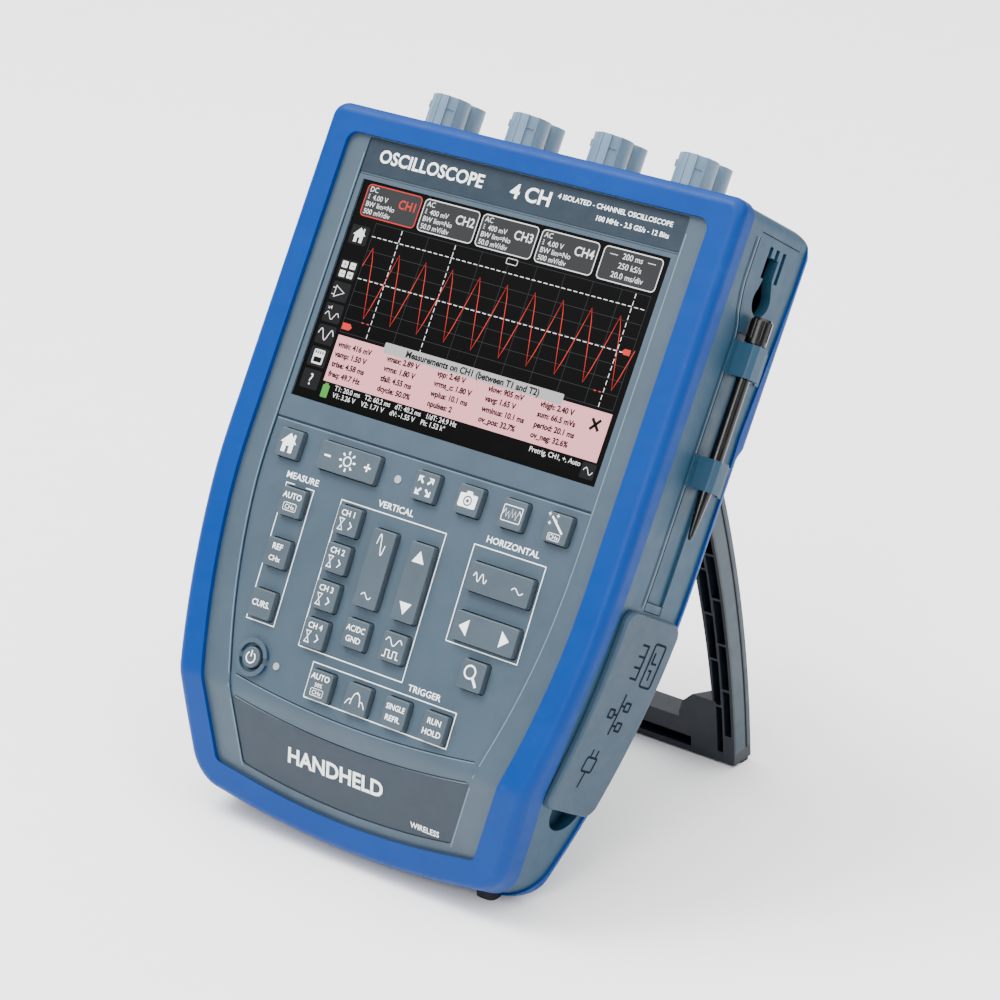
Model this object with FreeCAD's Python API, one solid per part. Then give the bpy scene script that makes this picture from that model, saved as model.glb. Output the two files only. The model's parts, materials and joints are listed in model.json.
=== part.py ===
"""Handheld four-channel oscilloscope on its fold-out stand.

The instrument is drawn upright: X to the right, Y into its depth, Z up along
its body, with the screen plane near Y = 0 and the bottom edge at Z = -4.
At the end everything is leant back about X so that it stands on its rubber
feet and the stand, and moved so that the origin is under the middle of it.
"""
import FreeCAD, Part
import math
import os

V = FreeCAD.Vector

# ---------------------------------------------------------------- dimensions
# Housing outline seen from the front: half width, top, top radius, height
# where the sides start to curve in, side radius, bottom, bottom radius, low
# corner radius.
OUTER = (105.3, 291.0, 7.0, 145.0, 415.0, -4.0, 450.0, 18.0)
BUMPER_INNER = (92.3, 279.5, 5.0, 140.0, 345.0, 6.3, 375.0, 3.5)
BUMPER_BACK = (91.0, 276.0, 8.0, 145.0, 401.0, 12.0, 435.0, 8.0)
FIELD = (82.0, 279.0, 2.0, 145.0, 292.0, 11.0, 375.0, 2.5)
SIDE_TURN = math.radians(17.0)
BOTTOM_TURN = math.radians(7.6)

# Housing seen from the side.
PANEL_Y = -1.5           # screen and upper keypad plane
BEND_Z = 135.0           # below this the keypad leans in
CHIN_Z = 44.0            # below this the chin leans in more
KEYPAD_SLOPE = 0.061
CHIN_SLOPE = 0.49
BACK_Y = 52.2
HUMP_Z = 200.5           # the rear bumper is thicker above this
HUMP_Y = 54.8
HEEL_Z = 6.0             # below this the back runs in, level with the floor
HEEL_SLOPE = 0.6
KEYPAD_TILT = math.degrees(math.atan(KEYPAD_SLOPE))

SHELL_INSET = 1.0        # the bumpers stand this far proud of the shells
BUMPER_WALL = 3.0
CAVITY_INSET = 5.5
MARGIN_RISE = 0.8        # panel margin in front of the keypad field
BUMPER_RISE = 3.0
PANEL_WALL = 2.5
BACK_WALL = 3.0

# Screen.
BEZEL = (81.7, 157.2, 263.2)         # half width, bottom, top
GLASS = (78.8, 166.9, 261.1)
TOP_LABEL = (81.7, 264.3, 278.7)

# Keys.
KEY = 12.0
KEY_RISE = 3.0
KEY_GAP = 0.45
KEY_RADIUS = 1.2
KEY_TRAVEL = 0.8
ROCKER_TURN = 2.5
FLANGE_TOP = 3.6
FLANGE = 0.8
MEMBRANE_DEPTH = 5.5
UPPER_ROW = 146.8
PLAIN_KEYS = {
    "home_key": (-69.6, UPPER_ROW), "full_screen_key": (3.3, UPPER_ROW),
    "screenshot_key": (25.7, UPPER_ROW), "waveform_key": (48.1, UPPER_ROW),
    "auto_setup_key": (70.2, UPPER_ROW),
    "measure_auto_key": (-59.0, 124.1), "measure_ref_key": (-59.0, 102.4),
    "cursors_key": (-59.0, 80.5),
    "channel_1_key": (-28.6, 124.0), "channel_2_key": (-28.6, 108.1),
    "channel_3_key": (-28.6, 92.2), "channel_4_key": (-28.6, 76.3),
    "coupling_key": (-8.6, 81.5), "math_key": (11.4, 81.5), "zoom_key": (52.0, 81.5),
    "trigger_auto_key": (-18.6, 57.0), "trigger_slope_key": (1.4, 57.0),
    "single_key": (21.4, 57.0), "run_key": (41.4, 57.0),
}
# Rockers: place, width, height; the longer way is the way they rock.
ROCKERS = {
    "brightness_rocker": (-37.5, UPPER_ROW, 31.3, KEY),
    "sensitivity_rocker": (-8.6, 109.0, KEY, 32.5),
    "position_rocker": (11.4, 108.7, KEY, 32.5),
    "time_base_rocker": (52.0, 119.0, 31.5, KEY),
    "time_position_rocker": (52.0, 98.8, 31.5, KEY),
}
POWER_KEY = (-56.9, 58.3, 4.5)
POWER_GUARD = (6.2, 8.1, 1.8)        # inner and outer radius, height
LAMPS = ((-12.4, 146.3, 1.7), (-44.2, 58.1, 1.6))

# Screws from the back: place, and depth of the head's underside.
SCREWS = ((-87, 268, 44.0), (87, 268, 44.0), (-87, 150, 44.0), (87, 150, 44.0),
          (-40, 30, 33.0), (40, 30, 33.0))
DOOR_SCREWS = ((-46, 160.6, 49.0), (46, 160.6, 49.0))

# Input sockets on the top face.
SOCKET_X = (-63.0, -20.7, 21.6, 64.0)
SOCKET_Y = 18.5
SOCKET_R = 8.0
SOCKET_BORE = 6.2
SOCKET_BORE_DEPTH = 16.0
SOCKET_TOP = 305.5
LOBE_Y = 32.0
LOBE_R = 6.5

# Right side: stylus, port cover and ports.
SPLIT_Y = 21.7
STYLUS_X = 109.6
STYLUS_Y = 28.2
STYLUS_R = 2.8
STYLUS_LIFT = 100.0
CLIP_SPANS = ((226.0, 239.6), (179.0, 192.0))
COVER = (8.5, 48.8, 42.0, 126.0)     # Y from and to, Z from and to
COVER_SLANT = 6.1                    # how much further back its front edge ends
COVER_PROUD = 2.2
COVER_OPEN = 120.0

# Stand: outer edge of its arms in the open position.
STAND_HINGE = (46.0, 206.0)
STAND_TOP = (58.0, 213.0)
STAND_TIP = (184.6, 84.3)
STAND_BULGE = 8.0
STAND_THICK = 12.0
ARM_IN = 62.0
ARM_OUT = 77.0
ARM_TAPER = 5.0                      # how much narrower the arms are at the floor
STAND_CLOSED = -46.5
PIN_R = 2.45
RECESS_Y = 37.5
RECESS_IN = 60.5
RECESS_OUT = 78.5
RECESS_Z = (18.5, 54.5, 222.0)       # bottom, top of the bar's part, top

# Where it touches the floor.
FOOT = (46.0, -0.6)
STAND_FOOT = (182.6, 80.9)
LEAN = math.atan2(STAND_FOOT[1] - FOOT[1], STAND_FOOT[0] - FOOT[0])


# ------------------------------------------------------------ drawing helpers
def corner(before, point, after, radius):
    """Start, middle and end of the arc that rounds one corner."""
    u = ((before[0] - point[0]), (before[1] - point[1]))
    w = ((after[0] - point[0]), (after[1] - point[1]))
    u_len = math.hypot(*u)
    w_len = math.hypot(*w)
    u = (u[0] / u_len, u[1] / u_len)
    w = (w[0] / w_len, w[1] / w_len)
    half = math.acos(max(-1.0, min(1.0, u[0] * w[0] + u[1] * w[1]))) / 2
    if radius == 0 or half > math.pi / 2 - 1e-6:
        return point, point, point
    tangent = radius / math.tan(half)
    bisector = (u[0] + w[0], u[1] + w[1])
    length = math.hypot(*bisector)
    inward = (radius / math.sin(half) - radius) / length
    start = (point[0] + u[0] * tangent, point[1] + u[1] * tangent)
    middle = (point[0] + bisector[0] * inward, point[1] + bisector[1] * inward)
    end = (point[0] + w[0] * tangent, point[1] + w[1] * tangent)
    return start, middle, end


def rounded_face(points, radii, lift):
    """A face inside a polygon with rounded corners."""
    count = len(points)
    if not isinstance(radii, (list, tuple)):
        radii = [radii] * count
    arcs = [corner(points[i - 1], points[i], points[(i + 1) % count], radii[i])
            for i in range(count)]
    edges = []
    for i, (start, middle, end) in enumerate(arcs):
        if start != end:
            edges.append(Part.Arc(lift(*start), lift(*middle), lift(*end)).toShape())
        following = arcs[(i + 1) % count][0]
        if math.hypot(following[0] - end[0], following[1] - end[1]) > 1e-6:
            edges.append(Part.LineSegment(lift(*end), lift(*following)).toShape())
    return Part.Face(Part.Wire(edges))


def along_y(points, radii, y0, y1):
    """A polygon in X and Z, extruded from y0 to y1."""
    return rounded_face(points, radii, lambda x, z: V(x, y0, z)).extrude(V(0, y1 - y0, 0))


def along_x(points, radii, x0, x1):
    """A polygon in Y and Z, extruded from x0 to x1."""
    return rounded_face(points, radii, lambda y, z: V(x0, y, z)).extrude(V(x1 - x0, 0, 0))


def along_z(points, radii, z0, z1):
    """A polygon in X and Y, extruded from z0 to z1."""
    return rounded_face(points, radii, lambda x, y: V(x, y, z0)).extrude(V(0, 0, z1 - z0))


def box(x0, x1, y0, y1, z0, z1):
    return Part.makeBox(x1 - x0, y1 - y0, z1 - z0, V(x0, y0, z0))


def pad(x, z, width, height, radius, y0, y1):
    """A rounded rectangle about (x, z), extruded along Y."""
    w = width / 2
    h = height / 2
    points = [(x - w, z - h), (x + w, z - h), (x + w, z + h), (x - w, z + h)]
    return along_y(points, radius, y0, y1)


def rod_y(x, z, radius, y0, y1):
    return Part.makeCylinder(radius, y1 - y0, V(x, y0, z), V(0, 1, 0))


def rod_x(y, z, radius, x0, x1):
    return Part.makeCylinder(radius, x1 - x0, V(x0, y, z), V(1, 0, 0))


def rod_z(x, y, radius, z0, z1):
    return Part.makeCylinder(radius, z1 - z0, V(x, y, z0), V(0, 0, 1))


def joined(shapes):
    return shapes[0].multiFuse(shapes[1:]).removeSplitter()


def largest(shape):
    return max(shape.Solids, key=lambda solid: solid.Volume)


def both_sides(shape):
    """The shape and its mirror image across X = 0."""
    return [shape, shape.mirror(V(0, 0, 0), V(1, 0, 0))]


# ------------------------------------------------------------ housing surfaces
def outline(shape, inset=0.0):
    """Corner points and radii of a housing outline, moved in by inset."""
    half, top, top_radius, start, side_radius, bottom, bottom_radius, low_radius = shape
    half -= inset
    top -= inset
    bottom += inset
    side_radius -= inset
    bottom_radius -= inset
    knee = (half, start - side_radius * math.tan(SIDE_TURN / 2))
    apex = (0.0, bottom - bottom_radius * (1 / math.cos(BOTTOM_TURN) - 1))
    rise = math.tan(BOTTOM_TURN)
    lean = math.tan(SIDE_TURN)
    low_x = (half - lean * (knee[1] - apex[1])) / (1 - lean * rise)
    low = (low_x, apex[1] + rise * low_x)
    points = [(-half, top), (half, top), knee, low, apex,
              (-low[0], low[1]), (-knee[0], knee[1])]
    top_radius = max(top_radius - inset, 1.0)
    low_radius = max(low_radius - inset, 1.0)
    radii = [top_radius, top_radius, side_radius, low_radius, bottom_radius,
             low_radius, side_radius]
    return points, radii


def outline_block(shape, inset=0.0, y0=-30.0, y1=90.0):
    points, radii = outline(shape, inset)
    return along_y(points, radii, y0, y1)


def profile_block(front, back, wide=150.0):
    """Everything between a front surface and a back surface.

    front moves the front surface in from the panel plane, back moves the back
    surface in from the outside of the rear bumper.
    """
    face = PANEL_Y + front
    chin = face + KEYPAD_SLOPE * (BEND_Z - CHIN_Z)
    rear = BACK_Y - back
    hump = HUMP_Y - back
    gap = rear - HEEL_Z / HEEL_SLOPE - chin - CHIN_SLOPE * CHIN_Z
    low_z = -gap / (CHIN_SLOPE + 1 / HEEL_SLOPE)
    low_y = chin + CHIN_SLOPE * (CHIN_Z - low_z)
    points = [(face, 320.0), (face, BEND_Z), (chin, CHIN_Z), (low_y, low_z),
              (rear, HEEL_Z), (rear, HUMP_Z - 4.5), (hump, HUMP_Z), (hump + 1, 282.0),
              (hump - 2.6, 287.6), (hump - 13, 291.4), (hump - 25, 320.0)]
    radii = [0, 490, 15, 0, 12, 3, 3, 4, 6, 16, 0]
    return along_x(points, radii, -wide, wide)


def body_block(inset, front, back):
    return outline_block(OUTER, inset).common(profile_block(front, back))


def panel_band(shape, front, back, inset=0.0):
    """A skin that follows the panel, between two depths, inside an outline."""
    skin = profile_block(front, 0).cut(profile_block(back, 0))
    near = box(-120, 120, -20, 45, -20, 295)
    return outline_block(shape, inset).common(skin).common(near)


def side_x(z):
    """Half width of the housing at height z."""
    half, start, radius = OUTER[0], OUTER[3], OUTER[4]
    if z >= start:
        return half
    return half - radius + math.sqrt(radius ** 2 - (start - z) ** 2)


def panel_y(z):
    """Depth of the keypad field surface at height z."""
    if z >= BEND_Z:
        return PANEL_Y
    return PANEL_Y + KEYPAD_SLOPE * (BEND_Z - z)


def on_panel(shape, x, z):
    """Lay a shape drawn about the origin on the keypad at (x, z)."""
    placed = shape.copy()
    if z < BEND_Z:
        placed.rotate(V(0, 0, 0), V(1, 0, 0), KEYPAD_TILT)
    placed.translate(V(x, panel_y(z), z))
    return placed


def rim_edges(solid, front):
    """The edges round the front or back face of the housing block."""
    chosen = []
    for edge in solid.Edges:
        middle = edge.valueAt((edge.FirstParameter + edge.LastParameter) / 2)
        across = abs(middle.x) < 60 and 5 < middle.z < 286
        depths = [vertex.Point.y for vertex in edge.Vertexes]
        if across or max(depths) - min(depths) > 25:
            continue
        if (middle.y < 25) == front:
            chosen.append(edge)
    return chosen


# -------------------------------------------------------------------- housing
def bumper_block():
    block = body_block(0.0, -BUMPER_RISE, 0.0)
    block = block.makeFillet(4.5, rim_edges(block, True))
    return block.makeFillet(4.0, rim_edges(block, False))


def front_zone():
    """In front of the rear edge of the front bumper."""
    points = [(-40, 330), (5.4, 330), (5.4, 85), (13, 45), (42, -13), (-40, -13)]
    return along_x(points, [0, 0, 150, 60, 0, 0], -150, 150)


def rear_zone():
    """Behind the front edge of the rear bumper."""
    points = [(90, 330), (51.5, 330), (51.5, 268), (46.8, 205), (48.0, 178),
              (47.5, 16), (36.0, -14), (90, -14)]
    return along_x(points, [0, 0, 60, 20, 20, 20, 0, 0], -150, 150)


def split_zone():
    """In front of the joint between the two shells."""
    points = [(-40, 330), (15.5, 330), (15.5, 259), (SPLIT_Y, 243), (SPLIT_Y, -20), (-40, -20)]
    return along_x(points, [0, 0, 14, 14, 0, 0], -150, 150)


def front_bumper(block):
    core = body_block(BUMPER_WALL, 0.2, 0.0)
    ring = block.common(front_zone()).cut(core)
    return ring.cut(outline_block(BUMPER_INNER))


def rear_bumper(block):
    core = body_block(BUMPER_WALL, -30.0, 2.7)
    ring = block.common(rear_zone()).cut(core)
    return ring.cut(outline_block(BUMPER_BACK, 0.0, 30.0, 90.0))


def key_openings():
    holes = []
    for x, z in PLAIN_KEYS.values():
        holes.append(on_panel(pad(0, 0, KEY + 2 * KEY_GAP, KEY + 2 * KEY_GAP, 1.6, -3, 3.4), x, z))
    for x, z, width, height in ROCKERS.values():
        holes.append(on_panel(pad(0, 0, width + 2 * KEY_GAP, height + 2 * KEY_GAP, 1.6, -3, 3.4), x, z))
    x, z, radius = POWER_KEY
    holes.append(on_panel(rod_y(0, 0, radius + KEY_GAP, -3, 3.4), x, z))
    for x, z, radius in LAMPS:
        holes.append(on_panel(rod_y(0, 0, radius, -3, 3.4), x, z))
    return holes


def power_guard():
    inner, outer, height = POWER_GUARD
    ring = rod_y(0, 0, outer, -height, 0.6).cut(rod_y(0, 0, inner, -height - 1, 1))
    ring = ring.cut(box(-10, 10, -5, 2, -1.3, 1.3))
    return on_panel(ring, POWER_KEY[0], POWER_KEY[1])


def screen_opening():
    half, low, high = BEZEL
    seat = box(-half - 0.2, half + 0.2, -6, 0.4, low - 0.2, high + 0.2)
    window = box(-80.5, 80.5, -6, 6, 165.2, 262.8)
    label = box(-TOP_LABEL[0] - 0.1, TOP_LABEL[0] + 0.1, -6, -0.9,
                TOP_LABEL[1] - 0.1, TOP_LABEL[2] + 0.1)
    return [seat, window, label]


def bottom_label(inset=0.3, depth=0.6):
    """Name plate on the chin; its top edge sags towards the middle."""
    points = [(-70, 41.2), (0, 31.8), (70, 41.2), (70, -20), (-70, -20)]
    below = along_y(points, [0, 470, 0, 0, 0], -30, 60)
    return panel_band(FIELD, -0.3, depth, inset).common(below)


def post(x, z, y0, y1):
    return rod_y(x, z, 4.2, y0, y1)


def front_shell(bumper, cavity, sockets):
    shell = body_block(SHELL_INSET, -MARGIN_RISE, 1.2).common(split_zone())
    shell = shell.cut(bumper).cut(cavity)
    posts = [post(x, z, panel_y(z) + (8 if z < CHIN_Z else 2), SPLIT_Y) for x, z, _ in SCREWS]
    shell = joined([shell] + posts)
    shell = shell.cut(panel_band(FIELD, -6.0, 0.0)).cut(bottom_label(0.2, 0.6))
    shell = joined([shell, power_guard()])
    for hole in key_openings() + screen_opening():
        shell = shell.cut(hole)
    for x, z, _ in SCREWS:
        shell = shell.cut(rod_y(x, z, 1.5, SPLIT_Y - 9, SPLIT_Y + 1))
    shell = shell.cut(port_window()).cut(stylus_groove())
    for socket in sockets:
        shell = shell.cut(socket)
    return shell


def bar_channel(wall):
    """Room in the back for the cross bar of the folded stand."""
    out = RECESS_OUT + wall
    return box(-out, out, RECESS_Y - wall, 90, RECESS_Z[0] - wall, RECESS_Z[1] + wall)


def arm_channels(wall):
    """Room in the back for the folded stand: two arms and the cross bar."""
    channel = box(RECESS_IN - wall, RECESS_OUT + wall, RECESS_Y - wall, 90,
                  RECESS_Z[0] - wall, RECESS_Z[2] + wall)
    return joined(both_sides(channel) + [bar_channel(wall)])


def battery_bay():
    return box(-47, 47, 26, 90, 61, 158)


def door_seat(gap=0.0):
    return pad(0, 110.5, 104 + 2 * gap, 109 + 2 * gap, 4, 48.2 - gap, 90)


def strap_recess(side):
    """Keyhole for the carrying strap, with three slots above it."""
    x0, x1 = (94, 112) if side > 0 else (-112, -94)
    bulb = rod_x(31, 257.5, 6.5, x0, x1)
    neck = along_x([(25.6, 261), (36.4, 261), (32.4, 270), (28, 270)], 0, x0, x1)
    pocket = box(x0, x1, 24.8, 33.8, 266, 275)
    slots = [box(x0, x1, y, y + 2.4, low, 279) for y, low in ((25, 274), (30.2, 274), (35.6, 266))]
    return joined([bulb, neck, pocket] + slots)


def stylus_groove():
    return box(103.1, 115, SPLIT_Y, 34, 131, 243)


def port_window():
    points = [(16, 50), (40, 50), (40, 119), (16, 119)]
    return along_x(points, 3, 82, 115)


def finger_notch():
    return rod_x(34.5, 43.0, 9.5, 84, 110)


def hinge_holes():
    y, z = STAND_HINGE
    return [rod_x(y, z, 2.5, 57.5, 81.5), rod_x(y, z, 2.5, -81.5, -57.5)]


def rear_shell_block(bumpers, cavity, feet):
    """Rear shell with its top still on."""
    shell = body_block(SHELL_INSET, -MARGIN_RISE, 1.2)
    outside = shell.copy()
    shell = shell.cut(split_zone()).cut(cavity)
    inside = outside.common(arm_channels(3.0))
    bay = box(-56, 56, 24, 60, 53, 168).common(outside)
    posts = [post(x, z, SPLIT_Y, 60).common(outside) for x, z, _ in SCREWS]
    notch = rod_x(34.5, 43.0, 12.0, 82, 103).common(outside)
    shell = joined([shell, inside, bay, notch] + posts)
    shell = shell.cut(arm_channels(0.0)).cut(battery_bay()).cut(door_seat(0.3))
    for x, z, head in SCREWS:
        shell = shell.cut(rod_y(x, z, 1.7, SPLIT_Y - 1, 60)).cut(rod_y(x, z, 3.1, head, 60))
    for cutter in hinge_holes() + [port_window(), stylus_groove(), finger_notch()]:
        shell = shell.cut(cutter)
    shell = shell.cut(strap_recess(1)).cut(strap_recess(-1))
    for neighbour in bumpers + feet:
        shell = shell.cut(neighbour)
    for x, z, head in DOOR_SCREWS:
        shell = shell.cut(rod_y(x, z, 1.45, head - 11, 60))
    return shell


def cap_box(gap):
    return box(-110, 110, 15.5 - gap, 46.5 + gap, 282.6 - gap, 300)


def input_socket(x):
    """Insulated tube with ribs and a bayonet track, and a lobe behind it."""
    tube = rod_z(x, SOCKET_Y, SOCKET_R, 284, SOCKET_TOP)
    ribs = []
    for angle in (188, 200, 212, 262, 292, 322, 60, 90, 120):
        a = math.radians(angle)
        rx = x + (SOCKET_R - 0.15) * math.cos(a)
        ry = SOCKET_Y + (SOCKET_R - 0.15) * math.sin(a)
        ribs.append(rod_z(rx, ry, 0.75, 286, SOCKET_TOP))
    lobe = rod_z(x, LOBE_Y, LOBE_R, 284, SOCKET_TOP + 0.5)
    web = box(x - 4, x + 4, SOCKET_Y + 5, LOBE_Y - 3, 284, SOCKET_TOP - 1)
    lug = rod_z(x - SOCKET_R - 0.2, SOCKET_Y - 2.6, 1.0, 299.5, 302.5)
    flange = box(x - 11, x + 11, SOCKET_Y - 7, LOBE_Y + 8, 282.8, 285.0)
    solid = joined([tube, lobe, web, lug, flange] + ribs)
    a = math.radians(307)
    track = box(-1.9, 1.9, -SOCKET_R - 2, -SOCKET_R + 0.7, 292, SOCKET_TOP + 1)
    window = box(-1.6, 1.6, -SOCKET_R - 2, -SOCKET_R + 1.1, 298.6, 300.0)
    for cutter in (track, window):
        cutter.rotate(V(0, 0, 0), V(0, 0, 1), math.degrees(a) - 270)
        cutter.translate(V(x, SOCKET_Y, 0))
        solid = solid.cut(cutter)
    bore_low = SOCKET_TOP - SOCKET_BORE_DEPTH
    solid = solid.cut(rod_z(x, SOCKET_Y, SOCKET_BORE, bore_low, SOCKET_TOP + 1))
    solid = solid.cut(rod_z(x, SOCKET_Y, 1.0, 280, bore_low + 1))
    return solid.cut(rod_z(x, LOBE_Y, 4.6, 292, SOCKET_TOP + 2))


def socket_room(x):
    """What a socket takes out of the housing: its outside with no bores."""
    filling = [rod_z(x, SOCKET_Y, SOCKET_BORE + 0.5, 284, SOCKET_TOP),
               rod_z(x, LOBE_Y, LOBE_R - 0.5, 284, SOCKET_TOP)]
    return joined([input_socket(x)] + filling)


def input_contacts():
    low = SOCKET_TOP - SOCKET_BORE_DEPTH
    return [rod_z(x, SOCKET_Y, 1.0, 280, low) for x in SOCKET_X]


# ----------------------------------------------------------- screen and boards
def display_glass():
    half, low, high = GLASS
    return box(-half, half, -0.9, 1.1, low, high)


def screen_bezel():
    half, low, high = BEZEL
    frame = box(-half, half, PANEL_Y - 0.3, 0.4, low, high)
    return frame.cut(box(-GLASS[0] - 0.2, GLASS[0] + 0.2, -6, 6, GLASS[1] - 0.2, GLASS[2] + 0.2))


def lcd_module():
    return box(-80.2, 80.2, 1.3, 6.6, 165.5, 262.5)


def top_label():
    half, low, high = TOP_LABEL
    return box(-half, half, PANEL_Y - 0.3, -0.9, low, high)


def keypad_membrane():
    points = [(-76, 154), (76, 154), (76, 118), (60, 50), (-66, 50), (-76, 118)]
    sheet = profile_block(MEMBRANE_DEPTH, 0).cut(profile_block(MEMBRANE_DEPTH + 1, 0))
    return along_y(points, 4, -10, 30).common(sheet)


def keypad_board():
    points = [(-75, 18), (75, 18), (75, -15), (60, -83), (-64, -83), (-75, -15)]
    board = along_y(points, 3, 8.0, 9.6)
    return on_panel(board, 0, BEND_Z - 0.001)


def main_board():
    points = [(-82, 270), (82, 270), (82, 100), (72, 58), (-72, 58), (-82, 100)]
    return along_y(points, 3, 22.0, 23.6)


def input_shields():
    return [box(x - 17, x + 17, 23.6, 33.0, 228, 276) for x in SOCKET_X]


def io_board():
    return box(82.2, 83.8, 17.5, 34.5, 52, 116)


def ethernet_jack():
    body = box(83.8, 98.5, 19, 35, 78.5, 92.5)
    return body.cut(box(86, 100, 21.2, 32.8, 80.4, 89.4)).cut(box(86, 100, 24, 30, 89.3, 91.2))


def usb_ports():
    shells = []
    for z in (59.0, 69.0):
        shell = box(83.8, 94.5, 19.5, 34.5, z - 3.6, z + 3.6)
        shell = shell.cut(box(86, 96, 20.4, 33.6, z - 2.8, z + 2.8))
        tongue = box(86, 93.5, 21.5, 32.5, z - 0.2, z + 1.4)
        shells.append(shell.fuse(tongue))
    return shells


def card_slot():
    body = box(83.8, 99.5, 19.5, 34.5, 102, 106)
    return body.cut(box(86, 101, 21, 33, 103.3, 104.8))


def housing_seal(shells):
    ring = outline_block(OUTER, CAVITY_INSET + 0.05, 20.6, 22.8)
    ring = ring.cut(outline_block(OUTER, CAVITY_INSET + 1.6, 20, 24))
    ring = ring.cut(box(-120, 120, 0, 40, 240, 300)).cut(port_window())
    ring = ring.cut(box(80, 110, 0, 40, 48, 121))
    for shell in shells:
        ring = ring.cut(shell)
    return largest(ring)


def battery_pack():
    return pad(0, 109.5, 92, 95, 2, 27, 47.2)


def battery_door():
    door = door_seat().common(body_block(SHELL_INSET, 0, 1.2))
    ribs = [box(-30, 30, 50.4, 60, z, z + 1.6) for z in (70, 74, 78, 82)]
    for rib in ribs:
        door = door.cut(rib)
    for x, z, head in DOOR_SCREWS:
        door = door.cut(rod_y(x, z, 1.6, 40, 60)).cut(rod_y(x, z, 3.0, head, 60))
    return door


def screw(x, z, tip, head):
    shank = rod_y(x, z, 1.45, tip, head)
    cap = rod_y(x, z, 2.8, head, head + 1.9)
    slot = box(x - 0.5, x + 0.5, head + 1.0, head + 3, z - 1.9, z + 1.9)
    cross = box(x - 1.9, x + 1.9, head + 1.0, head + 3, z - 0.5, z + 0.5)
    return shank.fuse(cap).cut(slot).cut(cross)


def screws():
    """Six hold the shells together and two hold the battery door."""
    shells = [screw(x, z, SPLIT_Y - 8, head) for x, z, head in SCREWS]
    return shells + [screw(x, z, head - 10, head) for x, z, head in DOOR_SCREWS]


def status_lamps():
    return [on_panel(rod_y(0, 0, radius - 0.05, -0.4, 5.2), x, z) for x, z, radius in LAMPS]


# ------------------------------------------------------------------------ keys
def key_solid(width, height):
    cap = pad(0, 0, width, height, KEY_RADIUS, -KEY_RISE, FLANGE_TOP + 0.2)
    top_edges = [e for e in cap.Edges
                 if all(abs(v.Point.y + KEY_RISE) < 1e-3 for v in e.Vertexes)]
    cap = cap.makeFillet(0.6, top_edges)
    flange = pad(0, 0, width + 1.8, height + 1.8, 1.6, FLANGE_TOP, FLANGE_TOP + FLANGE)
    return cap.fuse(flange).removeSplitter()


def rocker_solid(width, height):
    solid = key_solid(width, height)
    low = FLANGE_TOP + FLANGE
    middle = low + 0.45
    if width > height:
        bead = rod_z(0, middle, 0.55, -height / 2 + 1, height / 2 - 1)
        neck = box(-0.4, 0.4, low - 0.2, middle, -height / 2 + 1, height / 2 - 1)
    else:
        bead = rod_x(middle, 0, 0.55, -width / 2 + 1, width / 2 - 1)
        neck = box(-width / 2 + 1, width / 2 - 1, low - 0.2, middle, -0.4, 0.4)
    return joined([solid, bead, neck])


ROCKER_PIVOT = FLANGE_TOP + FLANGE + 0.45


def power_key():
    cap = rod_y(0, 0, POWER_KEY[2], -2.0, FLANGE_TOP + 0.2)
    rim = [e for e in cap.Edges if all(abs(v.Point.y + 2.0) < 1e-3 for v in e.Vertexes)]
    cap = cap.makeFillet(0.6, rim)
    flange = rod_y(0, 0, POWER_KEY[2] + 1.2, FLANGE_TOP, FLANGE_TOP + FLANGE)
    return on_panel(cap.fuse(flange).removeSplitter(), POWER_KEY[0], POWER_KEY[1])


# ----------------------------------------------------------- right-hand fittings
def port_cover():
    """Rubber cover that follows the curved side over the ports."""
    y0, y1, z0, z1 = COVER
    window = along_x([(y0 + COVER_SLANT, z0), (y1, z0), (y1, z1), (y0, z1)], 5.5, 60, 130)
    shell = outline_block(OUTER, -COVER_PROUD).cut(outline_block(OUTER, SHELL_INSET - 0.3))
    cover = shell.common(window)
    outer_rim = []
    for edge in cover.Edges:
        points = edge.discretize(5)
        if all(p.x > side_x(p.z) + COVER_PROUD - 0.25 for p in points):
            outer_rim.append(edge)
    return cover.makeFillet(1.2, outer_rim)


def cover_room():
    """What the rear bumper gives up to the cover."""
    y0, y1, z0, z1 = COVER
    return along_x([(y0 + COVER_SLANT - 0.4, z0 - 0.4), (y1 + 0.4, z0 - 0.4),
                    (y1 + 0.4, z1 + 0.4), (y0 - 0.4, z1 + 0.4)], 5.9, 85, 130)


def stylus():
    """Barrel with a ball tip at the low end and a wider grooved head."""
    profile = [(0, 159.2), (0.7, 159.4), (1.1, 161.0), (STYLUS_R, 180.0), (STYLUS_R, 240.2),
               (4.5, 240.2), (4.5, 249.6), (3.6, 250.8), (0, 250.8)]
    points = [V(STYLUS_X + r, STYLUS_Y, z) for r, z in profile]
    face = Part.Face(Part.makePolygon(points + [points[0]]))
    solid = face.revolve(V(STYLUS_X, STYLUS_Y, 0), V(0, 0, 1), 360)
    for angle in range(0, 360, 45):
        groove = rod_z(STYLUS_X + 4.9, STYLUS_Y, 0.8, 242, 252)
        groove.rotate(V(STYLUS_X, STYLUS_Y, 0), V(0, 0, 1), angle)
        solid = solid.cut(groove)
    return solid


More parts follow.
